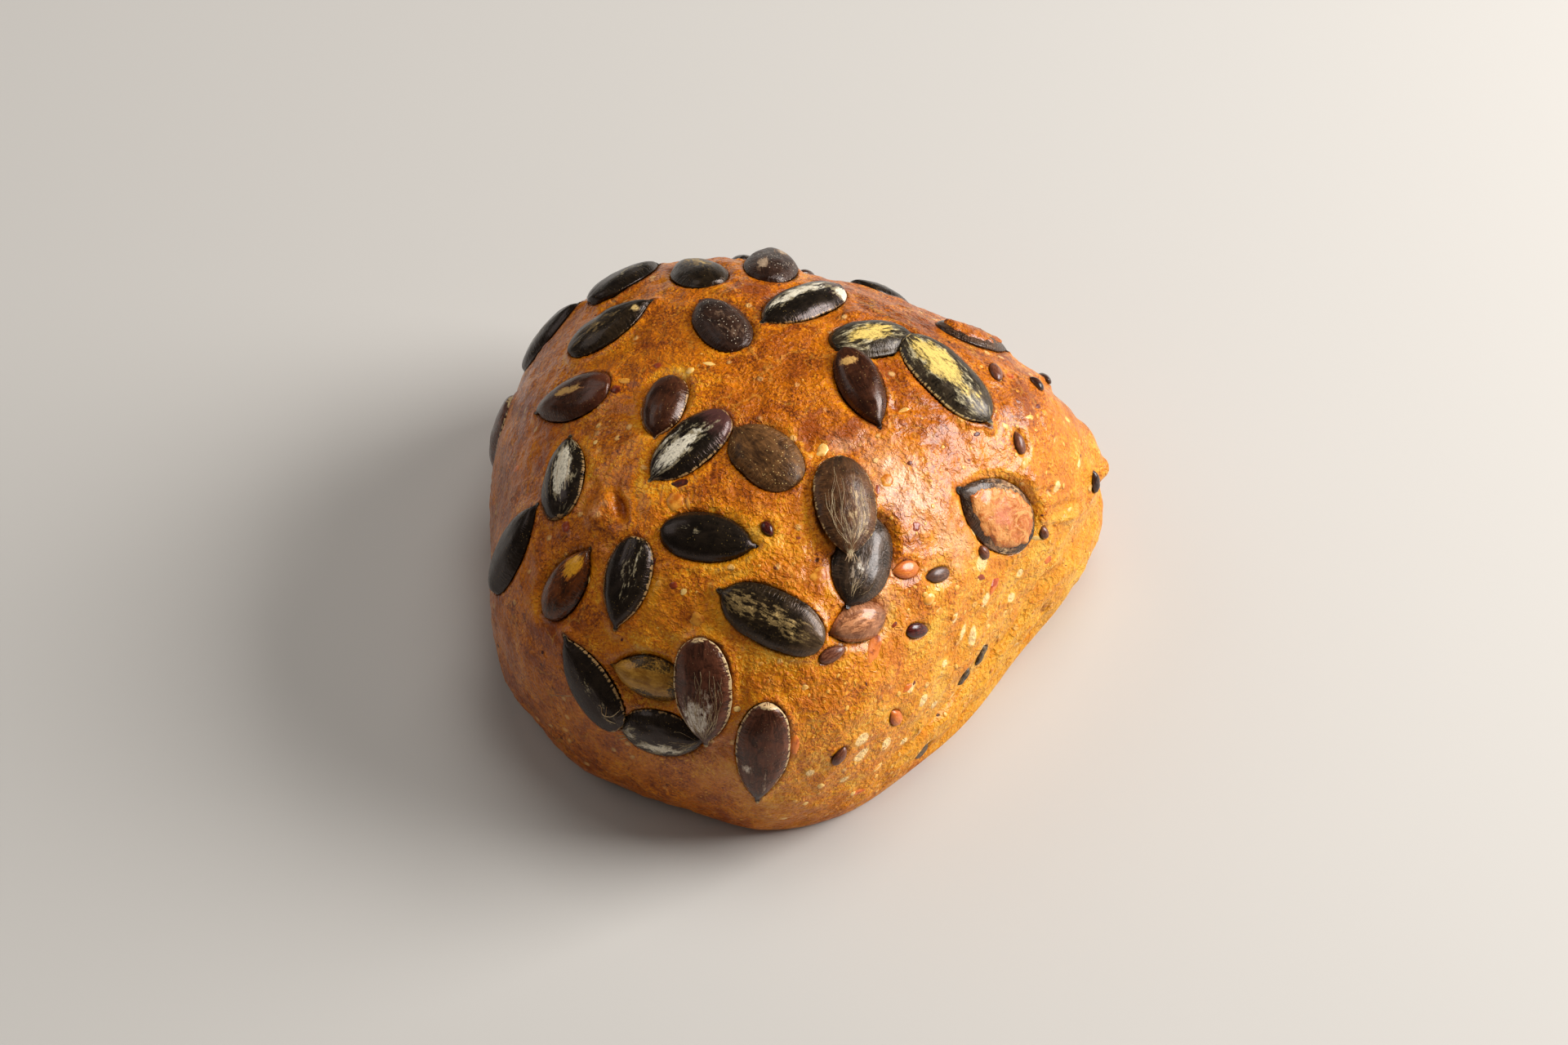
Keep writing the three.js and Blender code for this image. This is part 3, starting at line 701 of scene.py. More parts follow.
# about half of these places were worked out by a separate script, not chosen by hand
milkySpots = [  # pale dough under the glaze: bearing, lift, length, width, turn
    (333, 27.3, 3.4, 3.0, 44), (330, 17.5, 3.0, 1.8, 47), (339, 9.7, 2.2, 1.9, -33),
    (323, 11.7, 4.2, 1.7, 56), (320, 15.4, 3.4, 1.5, 52), (303, 8.5, 2.8, 2.2, 54),
    (286, 11.4, 3.4, 2.6, 5), (286, 6, 3.6, 2.4, 11), (292, 4.2, 3.0, 2.2, 70), (314, -3.8, 2.4, 2.0, 82),
    (307, 3, 2.0, 1.7, 30), (297, 0, 2.2, 1.7, -20), (343, 14.5, 1.8, 1.6, 0), (326, 5, 1.9, 1.6, 20),
    (282, 1, 2.0, 1.6, 30), (275, 8, 1.8, 1.5, 0), (318, 22, 2.2, 1.6, 60), (346, 24, 2.0, 1.4, 20),
    (300, 15, 2.4, 1.6, 20), (0, 26, 2.4, 1.6, 40), (352, 30, 1.8, 1.3, -20), (337, 35, 2.2, 1.5, 70),
    (8, 22, 2.2, 1.5, 10), (312, 12, 1.8, 1.4, 0),
]
# about half of the places in the next two tables come from that script too
# soft bumps and dents: bearing, lift, along and across the bump, turn, height,
# then brown, film, pink and cream
crustMarks = [
    (212, 53.4, 5.4, 3.8, 109, 0.9, 0.1, 0.6, 0.1, 0), (216, 57, 4.8, 1.6, -22, -1.15, 1.0, 0, 0, 0),
    (17, 14, 9.0, 5.0, 35, 0.9, 0, 0.5, 0, 0), (14, 9.0, 3.6, 2.3, 20, 1.2, 0, 0.4, 0, 0),
    (14, 0.5, 6.5, 3.8, 10, -1.7, 0.6, 0, 0, 0), (12.5, 5.5, 1.8, 1.8, 0, -0.8, 1.0, 0, 0, 0),
    (28, 30, 17, 12, 20, -0.55, 0, 0, 0, 0), (14, 14, 34, 30, 0, -0.7, 0, 0, 0, 0),
    (358, 27, 6.5, 1.2, -43, -0.6, 0.7, 0, 0, 0), (357, 23.5, 5.0, 2.4, -35, 0.35, 0.55, 0, 0, 0),
    (300, 76.8, 3.0, 2.2, 31, -0.12, 0.9, 0, 0, 0), (310, 79, 7.5, 4.6, 20, -0.15, 0.8, 0, 0, 0),
    (20, 72, 9.0, 5.0, -70, -0.15, 0.7, 0, 0, 0), (56, 63.8, 4.0, 2.2, -115, 0.35, 0.3, 0.5, 0, 0),
    (356, 69, 2.8, 1.4, -70, -0.5, 1.0, 0, 0, 0), (171, 62.6, 2.4, 1.8, 73, 0.3, 0.9, 0, 0, 0),
    (148, 66, 3.0, 1.5, 73, -0.2, 0.8, 0, 0, 0), (174, 79.5, 3.4, 3.2, 0, 0.15, 0, 0.3, 0, 0.35),
    (247, 43.3, 3.2, 2.4, -55, -0.15, 0.7, 0, 0, 0), (239, 34.2, 6.2, 2.2, 95, 0.35, 0, 0.3, 0, 0.4),
    (322, 60.5, 3.0, 2.2, -20, 0.15, 0, 0.6, 0, 0.1), (295, 23, 5.4, 3.2, 45, 0.1, 0, 0, 0, 0.7),
    (307, 6.5, 4.0, 2.8, -54, 0.25, 0, 0.5, 0, 0.2), (301, -5, 6.5, 1.6, 56, 0.3, 0, 0, 0, 0.9),
    (356, 10.3, 2.4, 2.0, 0, 0.2, 0.35, 0.3, 0, 0), (360, 56.4, 3.6, 1.8, -70, 0.15, 0, 0, 0.1, 0.8),
    (354, 60.3, 2.4, 1.4, -59, 0.1, 0.3, 0, 0.6, 0), (277, 47, 6.0, 2.5, 10, 0.1, 0.2, 0.2, 0, 0),
    (349, -14, 1.8, 2.6, 0, -0.6, 0.9, 0, 0, 0), (357, 18, 8.0, 1.3, -34, 0.45, 0, 0.3, 0, 0.8),
    (359.5, 15, 7.0, 1.1, -30, 0.4, 0, 0, 0, 0.75), (359, 20.5, 7.0, 0.9, -36, -0.45, 0.6, 0, 0, 0),
    (1, 17.5, 5.5, 0.8, -32, -0.4, 0.5, 0, 0, 0),
]
goldenSpots = [  # less baked, where the glaze ran thin: bearing, lift, length, width, turn, strength
    (169, 77.6, 15, 11, 161, -0.3), (280, 79.2, 14, 8, -37, -0.24), (224, 62, 12, 8, 67, -0.26),
    (253, 55, 10, 6, 9, -0.26), (241, 36, 14, 8, 47, -0.3), (257, 47.4, 10, 6, 7, -0.26),
    (264, 62.8, 10, 8, 1, -0.3), (268, 41, 12, 8, 18, -0.22), (236, 47, 9, 6, 30, -0.24),
    (205, 70, 9, 6, 60, -0.18),
]
# three of these five places come from it too
paintedSheenSpots = [  # the same rows for a painted pale pinkish highlight, where the window's sheen falls
    (327, 57.8, 24, 14, -94, 0.9), (298, 42, 20, 12, -89, 0.8), (328, 39.2, 17, 12, -91, 0.9),
    (318, 72.7, 10, 7, -41, 0.7), (350, 42, 13, 7, -80, 0.5),
]
bakedSpots = [(38, 55, 34, 18, -179, 0.24), (62, 66, 20, 12, -150, 0.12)]  # the same rows for darker crust


# flat coordinates around a spot of the crust, in millimetres
def nearSpot(points, out, bearing, lift, turn):
    b, l, step = math.radians(bearing), math.radians(lift), 1e-3
    centre = crustPoint(np.array(b), np.array(l))
    east = crustPoint(np.array(b + step), np.array(l)) - centre
    north = crustPoint(np.array(b), np.array(l + step)) - centre
    east, north = east / np.linalg.norm(east), north / np.linalg.norm(north)
    north = north - east * (north @ east)
    north /= np.linalg.norm(north)
    c, s = math.cos(math.radians(turn)), math.sin(math.radians(turn))
    away = points - centre
    x, y = away @ east, away @ north
    facing = out @ np.cross(east, north) > 0.2
    return x * c + y * s, -x * s + y * c, facing & (np.abs(away @ np.cross(east, north)) < 6)


def makeRoll():
    s = crustRelief
    directions, quads = cubeGrid(rollShape["gridSteps"])
    points, bearing, lift = rollSurface(directions)
    out = normalsOf(points, quads)
    base = smooth(0.2, 4.0, points[:, 2])[:, None]  # the base stays flat
    upright = np.maximum(0, np.cos(bearing - math.radians(-32)))
    low = smooth(56, 12, lift)
    relief = sum(height * waves(points, size, octaves, shift)
                 for height, size, octaves, shift in s["layers"])
    slanted = np.c_[(points[:, 0] * 0.8 + points[:, 1] * 0.6) / 2.2,
                    points[:, 1] * 0 + 1, points[:, 2] * 1.1]
    relief += s["wrinkles"] * waves(slanted, 2.8, 2, 4.4) * upright ** 2 * low
    # the ledge where the dough bulged
    strip = smooth(-75, -50, np.degrees(bearing)) * smooth(14, 4, np.degrees(bearing))
    edgeLift = -9 + 14 * smooth(-34, -8, np.degrees(bearing)) + 1.6 * waves(points, 6, 2, 2.2)
    below = edgeLift - lift
    relief += strip * (0.5 * smooth(0, 8, below) * smooth(45, 20, below)
                       - 0.5 * np.exp(-(below / 2.4) ** 2))
    stain = np.zeros((len(points), 3))
    bake = (0.57 - 0.38 * upright ** 1.4 * low + 0.08 * smooth(60, 85, lift) - 0.1 * smooth(30, -40, lift)
            + 0.06 * np.maximum(0, -np.cos(bearing)) * smooth(70, 40, lift))
    cream = (0.3 * upright ** 3 * smooth(14, -14, lift)
             + strip * 0.68 * smooth(0, 12, below) * smooth(60, 25, below))
    cream *= np.clip(0.85 + 0.4 * waves(points, 8, 2, 4.9), 0.4, 1.15)
    cream = np.minimum(cream, 0.66)
    stain[:, 0] += strip * 0.35 * np.exp(-(below / 1.8) ** 2)
    # darker low on the front: partly deeper baking, partly painted shade against the floor's bounce light
    bake += 0.22 * smooth(12, -45, lift) * np.maximum(0, np.cos(bearing - math.radians(-98)))
    spots = [(at, up, long * 1.25, wide * 1.35, turn, 0.16, 0, 0, 0, 1.1)
             for at, up, long, wide, turn in milkySpots]
    # painted highlight: pale pinkish sheen where the window reflects
    glazed = np.zeros(len(points))
    for rows, target in ((paintedSheenSpots, glazed), (bakedSpots + goldenSpots, bake)):
        for at, up, long, wide, turn, strength in rows:
            x, y, facing = nearSpot(points, out, at, up, turn)
            shape = strength * np.exp(-(x / long * 2) ** 2 - (y / wide * 2) ** 2) * facing
            target[:] = np.maximum(target, shape) if target is glazed else target + shape
    for at, up, long, wide, turn, height, brown, film, pink, pale in crustMarks + spots:
        x, y, facing = nearSpot(points, out, at, up, turn)
        shape = np.exp(-((x / long * 2) ** 2 + (y / wide * 2) ** 2) ** 1.4) * facing
        relief += height * shape
        stain = np.maximum(stain, shape[:, None] * [brown, film, pink])
        cream = np.maximum(cream, shape * pale)
    points = points + out * base * relief[:, None]
    paintedContactShade = np.zeros(len(points))
    lips = np.zeros(len(points))
    stretched = np.zeros(len(points))
    near = {}
    uncovered = np.ones(len(points))
    for node, place in places.items():
        away = points - place["centre"]
        picked = np.nonzero((away ** 2).sum(1) < (place["length"] / 2 + 3) ** 2)[0]
        picked = picked[np.abs(away[picked] @ place["out"]) < 4]
        x, y, z = (away[picked] @ place[axis] for axis in ("across", "along", "out"))
        gap = distanceTo(outlineOf(place), x, y)
        near[node] = (picked, gap, x, y)
        most = s["flakeLip"] if node.startswith("husk") else s["lipMost"]
        climb = np.clip(-z, -1.2, most) * np.exp(-(np.maximum(gap, 0) / s["lipReach"]) ** 2)
        better = np.abs(climb) > np.abs(lips[picked])
        lips[picked] = np.where(better, climb, lips[picked])
        # painted shade around each seed's edge, broken up by noise
        shadow = np.clip(0.62 + 0.5 * waves(points[picked], 2.4, 2, 8.8), 0.15, 1)
        paintedContactShade[picked] = np.maximum(paintedContactShade[picked], shadow * np.exp(-(np.maximum(gap, 0) / 0.36) ** 2))
        stretched[picked] = np.maximum(stretched[picked], np.exp(-((gap - 1.1) / 0.6) ** 2))
    points = points + out * lips[:, None] * base
    for node, (picked, gap, x, y) in near.items():
        place = places[node]
        z = (points[picked] - place["centre"]) @ place["out"]
        inner = place["width"] / 2
        depth = place["thick"] / 2 * np.sqrt(np.clip(1 - (1 + np.maximum(gap, -inner) / inner) ** 2, 0, 1))
        under = np.minimum(z, -depth - s["pocketDepth"])
        target = z + (under - z) * smooth(0.05, -0.35, gap)
        if node in s["films"]:
            ring, height, pink, cover = s["films"][node]
            ring = ring + 0.5 * waves(np.c_[x, y, x * 0], 2.4, 3, 6.0)
            for acrossAt, alongAt, reach in s["filmGaps"].get(node, []):
                ring = ring - 1.8 * np.exp(-(np.hypot(x - acrossAt, y - alongAt) / reach) ** 2)
            over = (seedRise(gap, place) + seedBuild["lift"] + height
                    + 0.24 * waves(points[picked], 2.0, 3, 9.0))
            filmed = smooth(-ring + 0.22, -ring - 0.3, gap)
            target = target + (over - target) * filmed
            uncovered[picked] = np.minimum(uncovered[picked], 1 - filmed)
            # painted shade in the groove at the film's edge
            paintedContactShade[picked] = np.maximum(paintedContactShade[picked] * (1 - filmed),
                                         0.75 * np.exp(-((gap + ring) / 0.3) ** 2))
            stain[picked, 1] = np.maximum(stain[picked, 1], cover * filmed)
            middle = np.exp(-(np.hypot(x, y + 0.5) / 2.6) ** 2)
            stain[picked, 2] = np.maximum(stain[picked, 2], pink * filmed * middle)
        points[picked] += place["out"] * (target - z)[:, None]
    points[:, 2] = np.maximum(points[:, 2], 0)
    bake -= 0.24 * stretched * smooth(-10, 40, lift) * np.clip(0.5 + waves(points, 5, 2, 6.1), 0, 1)
    cream = cream * uncovered
    clear = smooth(0.5, 0.1, paintedContactShade) * smooth(1.5, 5, points[:, 2]) * smooth(0.5, 1, uncovered)
    return meshPiece("rollCrust", points, quads.tolist(), crustMaterial,
                     {"bake": np.c_[bake, paintedContactShade, cream], "stain": stain},
                     numbers={"blistered": clear * (0.18 + 0.82 * upright * smooth(75, 30, lift)),
                              "clear": clear, "glazed": glazed})


# height of a filmed seed's upper face over its middle plane, from its edge inward
def seedRise(gap, place):
    s = seedBuild
    inward = np.clip(1 + gap / (place["width"] / 2), 0, 1)
    dome = np.clip(1 - (inward / s["flange"]) ** 2.3, 0, 1) ** 0.72
    return (place["thick"] / 2 * s["filmedPlump"] - s["bead"]) * dome + s["bead"]


rollCrust = makeRoll()
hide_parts("roll")
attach(rollCrust, "root")
print("roll made", len(rollCrust.data.polygons), "quads")


# pumpkin seeds
# skin, rim, dark tip, tinted blunt end and patches: along, across, length, width and strength,
# in shares of the seed
seedLooks = {
    "01": ("dark", 0.1, 0.4, 0, [(0.5, 0.3, 0.3, 0.2, 0.35)]),
    "02": ("mottled", 0.35, 0.3, 0, [(0.36, 0.1, 0.3, 0.4, 0.55), (0.8, 0.3, 0.04, 0.14, 1.4)]),
    "03": ("mottled", 0.2, 0.3, 0, [(0.56, 0.2, 0.3, 0.5, 0.8)]),
    "04": ("granular", 0.2, 0.1, 0, [(0.24, -0.3, 0.12, 0.25, 1.3), (0.64, 0.35, 0.13, 0.3, 1.2)]),
    "05": ("granular", 0.2, 0.6, 0, [(0.35, 0.1, 0.3, 0.5, 0.42)]),
    "06": ("dark", 0.5, 0.2, 0.9, [
        (0.5, 0.22, 0.42, 0.3, 1.1), (0.28, 0.0, 0.18, 0.24, 0.8), (0.1, -0.6, 0.1, 0.45, 1.3)]),
    "07": ("pale", 0.2, 0.85, 0.3, [(0.42, 0.1, 0.36, 0.55, 1.2), (0.3, 0.5, 0.2, 0.3, 0.6)]),
    "08": ("pale", 0.8, 0.35, 0, [(0.34, 0.1, 0.32, 0.62, 1.35), (0.68, 0.1, 0.3, 0.5, 0.8)]),
    "09": ("brown", 0.25, 0.8, 0.2, [(0.2, 0.15, 0.05, 0.5, 1.4)]),
    "10": ("torn", 0.5, 0.3, 0, []),
    "11": ("brown", 0.1, 0.4, 1.0, [(0.46, 0.05, 0.2, 0.2, 1.3)]),
    "12": ("brown", 0.8, 0.3, 0, []),
    "13": ("dark", 0.65, 0.3, 1.2, [
        (0.6, 0.0, 0.36, 0.4, 1.2), (0.62, 0.62, 0.3, 0.14, 0.85), (0.35, -0.2, 0.2, 0.2, 0.7)]),
    "14": ("dusty", 0.25, 0.1, 0.3, []),
    "15": ("dark", 0.65, 0.3, 0, [(0.5, 0.25, 0.34, 0.42, 1.3)]),
    "16": ("ash", 0.5, 0.0, 0.9, [(0.97, 0, 0.06, 0.9, 0.9), (0.6, -0.3, 0.3, 0.4, 0.45)]),
    "17": ("grey", 0.35, 0.95, 0, [(0.62, 0.1, 0.14, 0.3, 0.6)]),
    "18": ("dark", 0.15, 0.7, 0, [(0.3, -0.1, 0.12, 0.25, 0.3)]),
    "19": ("dark", 0.1, 0.5, 0, []),
    "20": ("film", 0.95, 0.6, 0, [(0.72, 0, 0.17, 0.45, 1.3)]),
    "21": ("dark", 0.85, 0.5, 0, [(0.34, -0.2, 0.3, 0.35, 0.42)]),
    "22": ("mottled", 0.3, 0.5, 0.9, [(0.78, -0.05, 0.2, 0.5, 0.75), (0.4, 0.0, 0.36, 0.42, 0.7)]),
    "23": ("dark", 0.85, 0.4, 0, [(0.3, 0.2, 0.3, 0.2, 0.4)]),
    # seed 24: the kernel's black skin along one flank, painted shadow along the other
    "24": ("kernel", 0.9, 0.3, 0, [
        (0.04, 0, 0.14, 0.9, 1.3), (0.5, -0.75, 0.5, 0.28, 1.3), (0.5, 0.75, 0.5, 0.28, 1.3)]),
    "25": ("dark", 0.5, 0.3, 0, [(0.45, 0.4, 0.34, 0.3, 1.0), (0.1, 0, 0.1, 0.5, 0.6)]),
    "26": ("plum", 1.0, 0.4, 0, [(0.7, 0.2, 0.2, 0.5, 1.1), (0.55, -0.25, 0.16, 0.3, 0.6)]),
    "27": ("plum", 0.9, 0.95, 0, [(0.58, 0.5, 0.05, 0.2, 1.0), (0.7, -0.2, 0.2, 0.06, 0.6)]),
    "28": ("torn", 0.15, 0.9, 0.5, [
        (0.3, -0.8, 0.25, 0.3, 0.8), (0.5, 0.8, 0.3, 0.25, 0.7), (0.15, 0.4, 0.15, 0.4, 0.8)]),
    "29": ("blush", 0.3, 1.0, 0.8, [(0.55, 0.2, 0.3, 0.5, 0.7)]),
}
hiddenLooks = [("dark", 0.4, 0.4, 0.6, [(0.5, 0, 0.3, 0.35, 1.0)]), ("brown", 0.5, 0.4, 0, []),
               ("dark", 0.2, 0.4, 0, [(0.4, 0.2, 0.3, 0.3, 0.5)]),
               ("plum", 0.6, 0.3, 0, [(0.6, 0, 0.25, 0.4, 0.7)])]


def lensGrid(rows, columns):  # shares along a seed and angles around it, with both end points left out
    u = ((1 - np.cos(np.linspace(0, math.pi, rows + 1))) / 2)[1:-1]
    v = np.arange(columns) / columns * 2 * math.pi
    return np.meshgrid(u, v, indexing="ij")


def lensFaces(rows, columns):  # the last two points are the blunt end and the tip
    grid = np.arange((rows - 1) * columns).reshape(rows - 1, columns)
    side = np.roll(grid, -1, 1)
    faces = np.stack([grid[:-1], grid[1:], side[1:], side[:-1]], -1).reshape(-1, 4).tolist()
    blunt, tip = grid.size, grid.size + 1
    faces += [[blunt, int(a), int(b)] for a, b in zip(grid[0], side[0])]
    return faces + [[tip, int(b), int(a)] for a, b in zip(grid[-1], side[-1])]


def laid(local, place):  # from a seed's own axes to the roll's
    return (place["centre"] + local[:, :1] * place["across"] + local[:, 1:2] * place["along"]
            + local[:, 2:] * place["out"])


def makePumpkinSeed(node, index):
    place = places[node]
    skin, rimShare, tipShare, endShare, patches = seedLooks.get(
        node[-2:], hiddenLooks[index % len(hiddenLooks)])
    s = seedBuild
    uu, vv = lensGrid(s["alongSteps"], s["aroundSteps"])
    side = np.cos(vv)
    ends = np.clip(1 - np.abs(2 * uu - 0.92) ** 2.5, 0, 1) ** 0.62
    dome = np.clip(1 - np.abs(side / s["flange"]) ** 2.3, 0, 1) ** 0.72
    bead = s["bead"] * np.minimum(1, np.abs(np.sin(vv)) / 0.2) * (0.35 + 0.65 * np.minimum(1, ends * 2))
    half = place["thick"] / 2 * (s["filmedPlump"] if node in crustRelief["films"] else s["plump"])
    out = np.sign(np.sin(vv)) * ((half - s["bead"]) * dome * ends + bead)
    across = side * halfWidth(uu, place) * place["width"] / 2
    tipAt = [[0, -place["length"] / 2, 0], [0, place["length"] / 2, 0]]
    local = np.r_[np.stack([across, (uu - 0.5) * place["length"], out], -1).reshape(-1, 3), tipAt]
    share = np.r_[uu.ravel(), 0, 1]
    flank = np.r_[side.ravel(), 0, 0]
    nearRim = np.maximum(smooth(0.86, 1.0, np.abs(flank)),
                         np.maximum(smooth(0.04, 0.0, share), smooth(0.95, 1, share)))
    seedShift = index * 31.7
    bumps = waves(local * [1, 0.55, 1], 3.0, 2, seedShift)
    creases = waves(local * [1.2, 0.25, 1], 0.9, 2, seedShift + 5)
    local[:, 2] += np.sign(local[:, 2]) * (s["dent"] * bumps + s["crease"] * creases) * (1 - nearRim)
    local[:, 2] += s["lift"] - s["bow"] * (local[:, 1] / (place["length"] / 2)) ** 2
    local[:, 0] += 0.2 * waves(np.c_[share * 3, share * 0, share * 0], 1, 2, seedShift + 9)
    rimWave = waves(np.c_[local[:, 1], np.sign(flank) * 3, share * 0], 0.9, 2, seedShift + 2)
    local[:, 0] += np.sign(flank) * 0.07 * rimWave * nearRim
    sides = np.c_[endShare * smooth(0.5, 0.05, share),
                  smooth(0.5, 0.85, np.abs(flank)) * (1 - nearRim), nearRim]
    paint = np.zeros((len(local), 3))
    paint[:, 0] = nearRim * rimShare
    wide = place["width"] / 2
    for alongAt, acrossAt, longShare, wideShare, strength in patches:
        reach = ((share - alongAt) / longShare) ** 2 + ((local[:, 0] / wide - acrossAt) / wideShare) ** 2
        paint[:, 1] = np.maximum(paint[:, 1], strength * np.exp(-reach ** 1.5))
    paint[:, 2] = tipShare * smooth(0.78, 0.97, share)
    seedPlace = local[:, [1, 0, 2]] + [seedShift, 0, 0]
    seedFlow = np.c_[local[:, 1] + seedShift, flank * wide, local[:, 2] * 0.3]
    piece = meshPiece("pumpkinSeed" + node[-2:], laid(local, place),
                      lensFaces(s["alongSteps"], s["aroundSteps"]),
                      seedMaterials[skin], {"seedPaint": paint, "seedSides": sides},
                      {"seedPlace": seedPlace, "seedFlow": seedFlow})
    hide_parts(node)
    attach(piece, "root")
    return piece


pumpkinSeedNodes = sorted(node for node in places if node.startswith("pumpkin_seed"))
pumpkinSeeds = {node: makePumpkinSeed(node, index) for index, node in enumerate(pumpkinSeedNodes)}
print("pumpkin seeds made", len(pumpkinSeedNodes))


# linseeds
linseedFinish = {"specular": 0.4, "coat": 0.2, "coatRoughness": 0.2, "bump": 0.35, "bumpHeight": 0.05,
                 "finer": 3.0}  # how much finer its grain is than a pumpkin seed's
linseedLooks = {
    "dark": {
        "base": rgb(34, 17, 11), "light": rgb(84, 46, 30), "edge": rgb(80, 52, 34), "roughness": 0.26},
    "maroon": {
        "base": rgb(50, 12, 10), "light": rgb(104, 36, 26), "edge": rgb(30, 8, 8), "roughness": 0.2},
    "brown": {
        "base": rgb(88, 42, 24), "light": rgb(146, 90, 62), "edge": rgb(54, 27, 16), "roughness": 0.32},
    "orange": {
        "base": rgb(196, 92, 26), "light": rgb(230, 140, 62), "edge": rgb(128, 48, 14), "roughness": 0.28},
    "grey": {
        "base": rgb(70, 40, 28), "light": rgb(126, 86, 64), "edge": rgb(36, 24, 20), "roughness": 0.42},
}
linseedBuild = {"alongSteps": 26, "aroundSteps": 24, "bow": 0.08, "dent": 0.06, "lift": 0.1, "plump": 1.15}


def makeLinseedSkin(name, look):
    s = linseedFinish
    material, tree, shader = newMaterial(name)
    place = put(tree, "ShaderNodeAttribute", {"attribute_name": "seedPlace"}).outputs["Vector"]
    flow = put(tree, "ShaderNodeAttribute", {"attribute_name": "seedFlow"}).outputs["Vector"]
    rim = painted(tree, "seedPaint")[0]
    finer = (s["finer"],) * 3
    fibres = useGroup(tree, fibreGroup, {
        "Flow": times(tree, flow, finer), "Place": times(tree, place, finer)})
    colour = blend(tree, stretch(tree, fibres["Streaks"], 0.4, 0.7), look["base"], look["light"])
    colour = blend(tree, product(tree, rim, 0.7), colour, look["edge"])
    tree.links.new(colour, shader.inputs["Base Color"])
    bump = put(tree, "ShaderNodeBump", None, {
        "Strength": s["bump"], "Distance": s["bumpHeight"] * mm, "Height": fibres["Height"]})
    tree.links.new(bump.outputs["Normal"], shader.inputs["Normal"])
    setShader(shader, {
        "Roughness": look["roughness"], "Specular IOR Level": s["specular"], "Coat Weight": s["coat"],
        "Coat Roughness": s["coatRoughness"]})
    return material


linseedSkins = {key: makeLinseedSkin(key + "LinseedSkin", look) for key, look in linseedLooks.items()}
linseedSkinOf = {"01": "brown", "02": "grey", "03": "maroon", "04": "brown", "05": "maroon", "06": "brown",
                 "07": "orange", "08": "orange", "10": "brown", "11": "brown", "12": "brown", "15": "brown"}


def makeLinseed(node, index):
    place = places[node]
    s = linseedBuild
    uu, vv = lensGrid(s["alongSteps"], s["aroundSteps"])
    ends = np.clip(1 - np.abs(2 * uu - 0.92) ** 2.4, 0, 1) ** 0.6
    out = np.sign(np.sin(vv)) * np.abs(np.sin(vv)) ** 1.2 * ends * place["thick"] / 2 * s["plump"]
    across = np.cos(vv) * halfWidth(uu, place) * place["width"] / 2
    local = np.r_[np.stack([across, (uu - 0.5) * place["length"], out], -1).reshape(-1, 3),
                  [[0, -place["length"] / 2, 0], [0, place["length"] / 2, 0]]]
    flank = np.r_[np.cos(vv).ravel(), 0, 0]
    edge = smooth(0.8, 1.0, np.abs(flank))
    local[:, 2] += np.sign(local[:, 2]) * s["dent"] * waves(local, 1.3, 2, index * 9.1) * (1 - edge)
    local[:, 2] += s["lift"] - s["bow"] * (local[:, 1] / (place["length"] / 2)) ** 2
    shift = [200 + index * 13.3, 0, 0]
    flow = np.c_[local[:, 1], flank * place["width"] / 2, local[:, 2] * 0.3] + shift
    piece = meshPiece("linseed" + node[-2:], laid(local, place),
                      lensFaces(s["alongSteps"], s["aroundSteps"]),
                      linseedSkins[linseedSkinOf.get(node[-2:], "dark")],
                      {"seedPaint": np.c_[edge, edge * 0, edge * 0]},
                      {"seedPlace": local[:, [1, 0, 2]] + shift, "seedFlow": flow})
    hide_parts(node)
    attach(piece, "root")


linseedNodes = sorted(node for node in places if node.startswith("linseed"))
for index, node in enumerate(linseedNodes):
    makeLinseed(node, index)
print("linseeds made", len(linseedNodes))


# husk flakes: thin, bent, torn plates
flakeBuild = {"steps": 22, "tear": 0.14, "warp": 0.22, "edgeShare": 0.5}
flakeLook = {"base": rgb(40, 30, 20), "light": rgb(116, 92, 60), "edge": rgb(18, 13, 9), "roughness": 0.45}


def makeFlakeSkin(name, look):
    material, tree, shader = newMaterial(name)
    place = objectMm(tree)
    fine = noiseAt(tree, times(tree, place, (1.0, 0.35, 1.0)), 0.35, 3.0, 0.6)
    broad = noiseAt(tree, place, 1.6, 3.0, 0.6)
    colour = blend(tree, stretch(tree, fine, 0.35, 0.7), look["base"], look["light"])
    colour = blend(tree, stretch(tree, broad, 0.5, 0.75, 0.0, 0.7), colour, look["edge"])
    tree.links.new(colour, shader.inputs["Base Color"])
    bump = put(tree, "ShaderNodeBump", None, {"Strength": 0.6, "Distance": 0.08 * mm, "Height": fine})
    tree.links.new(bump.outputs["Normal"], shader.inputs["Normal"])
    shader.inputs["Roughness"].default_value = look["roughness"]
    return material


flakeMaterial = makeFlakeSkin("huskFlake", flakeLook)


